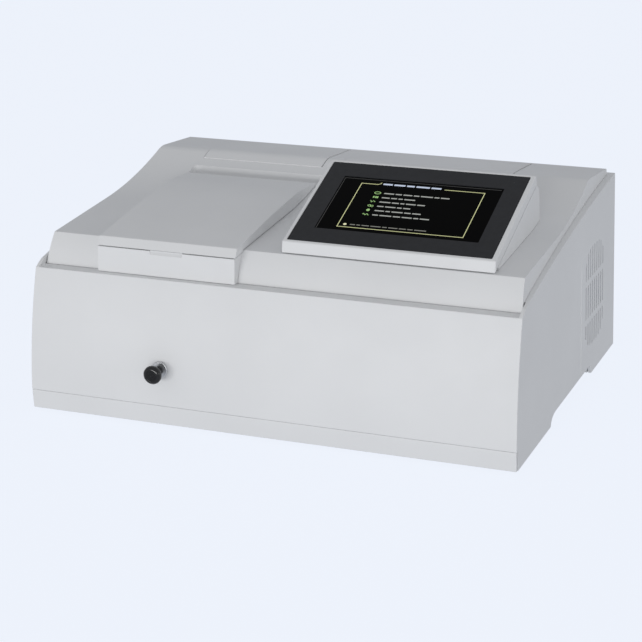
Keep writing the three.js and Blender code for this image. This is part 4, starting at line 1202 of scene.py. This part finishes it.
def build_floor():
    """A pale sheet that curves up behind the object."""
    low, high = CAD_BOX
    centre = (low + high) / 2
    outline = [(-FLOOR_REACH, 0.0)]
    for i in range(FLOOR_BEND_STEPS + 1):
        angle = math.pi / 2 * i / FLOOR_BEND_STEPS
        run, rise = FLOOR_BEND * math.sin(angle), FLOOR_BEND * (1 - math.cos(angle))
        outline.append((FLOOR_BACK + run, rise))
    outline.append((FLOOR_BACK + FLOOR_BEND, FLOOR_RISE))
    shape = bmesh.new()
    rows = []
    for side in (-FLOOR_REACH, FLOOR_REACH):
        rows.append([shape.verts.new((centre.x + side, centre.y + y, low.z + z)) for y, z in outline])
    for i in range(len(outline) - 1):
        shape.faces.new((rows[0][i], rows[1][i], rows[1][i + 1], rows[0][i + 1]))
    mesh = bpy.data.meshes.new("floor")
    shape.to_mesh(mesh)
    shape.free()
    for face in mesh.polygons:
        face.use_smooth = True
    floor = bpy.data.objects.new("floor", mesh)
    SCENE.collection.objects.link(floor)
    material, tree, shader = new_material("floor")
    cloud = noise(tree, position(tree), 3.0)
    vary(tree, shader, "Base Color", cloud, tint(FLOOR, 0.099), tint(FLOOR, 0.101))
    put(shader, "Roughness", 1.0)
    put(shader, "Specular IOR Level", 0.0)
    put(shader, "Emission Color", (*FLOOR, 1.0))
    # the sheet looks evenly lit, but sends less light back to the object than it shows
    rays = tree.nodes.new("ShaderNodeLightPath")
    glow = tree.nodes.new("ShaderNodeMapRange")
    put(glow, "To Min", FLOOR_FILL)
    put(glow, "To Max", FLOOR_GLOW)
    link(tree, rays.outputs["Is Camera Ray"], glow.inputs["Value"])
    link(tree, glow.outputs["Result"], shader.inputs["Emission Strength"])
    mesh.materials.append(material)


def area_light(name, place, size, power):
    """A white rectangular lamp that faces the object."""
    data = bpy.data.lights.new(name, "AREA")
    data.shape = "RECTANGLE"
    data.size, data.size_y = size
    data.energy = power
    light = bpy.data.objects.new(name, data)
    light.location = place
    light.rotation_mode = "QUATERNION"
    light.rotation_quaternion = (LIGHT_TARGET - Vector(place)).to_track_quat("-Z", "Y")
    SCENE.collection.objects.link(light)


LIGHT_TARGET = Vector((0.0, 0.0, 0.1))
SKY, SKY_STRENGTH = (0.955, 0.97, 1.0, 1.0), 0.475


def build_lights():
    """A low wide softbox in front, a weaker one on the right and an even sky."""
    area_light("front_softbox", (-0.2, -3.0, 0.26), (2.2, 0.5), 31.0)
    area_light("right_softbox", (3.0, -0.3, 0.5), (2.0, 1.2), 10.0)
    world = bpy.data.worlds.new("studio")
    world.use_nodes = True
    background = world.node_tree.nodes["Background"]
    put(background, "Color", SKY)
    put(background, "Strength", SKY_STRENGTH)
    SCENE.world = world


CAMERA_AZIMUTH = math.radians(22.0749)
CAMERA_ELEVATION = math.radians(18.974)
CAMERA_ROLL = math.radians(-1.1415)
CAMERA_PLACE = Vector((0.6505, -1.6255, 0.6625))
CAMERA_LENS = 108.2361


def build_camera():
    """The camera, placed by its place, two angles and a slight roll."""
    data = bpy.data.cameras.new("camera")
    data.lens = CAMERA_LENS
    data.sensor_width = 36.0
    camera = bpy.data.objects.new("camera", data)
    flat, rise = math.cos(CAMERA_ELEVATION), math.sin(CAMERA_ELEVATION)
    back = Vector((math.sin(CAMERA_AZIMUTH) * flat, -math.cos(CAMERA_AZIMUTH) * flat, rise))
    side = Vector((0.0, 0.0, 1.0)).cross(back).normalized()
    up = back.cross(side)
    right = side * math.cos(CAMERA_ROLL) + up * math.sin(CAMERA_ROLL)
    top = up * math.cos(CAMERA_ROLL) - side * math.sin(CAMERA_ROLL)
    turn = Matrix((right, top, back)).transposed()
    camera.matrix_world = Matrix.Translation(CAMERA_PLACE) @ turn.to_4x4()
    SCENE.collection.objects.link(camera)
    SCENE.camera = camera


finish_cad_nodes()
build_housing()
build_tray()
build_feet()
build_cover()
build_hatches()
build_lid()
build_fascia()
build_seal()
build_bezel()
build_glass()
build_rear_shell()
build_screen_graphics()
build_knob()
build_bush()
build_rod()
build_vent_filter()
build_floor()
build_lights()
build_camera()
SCENE.view_settings.view_transform = "Standard"
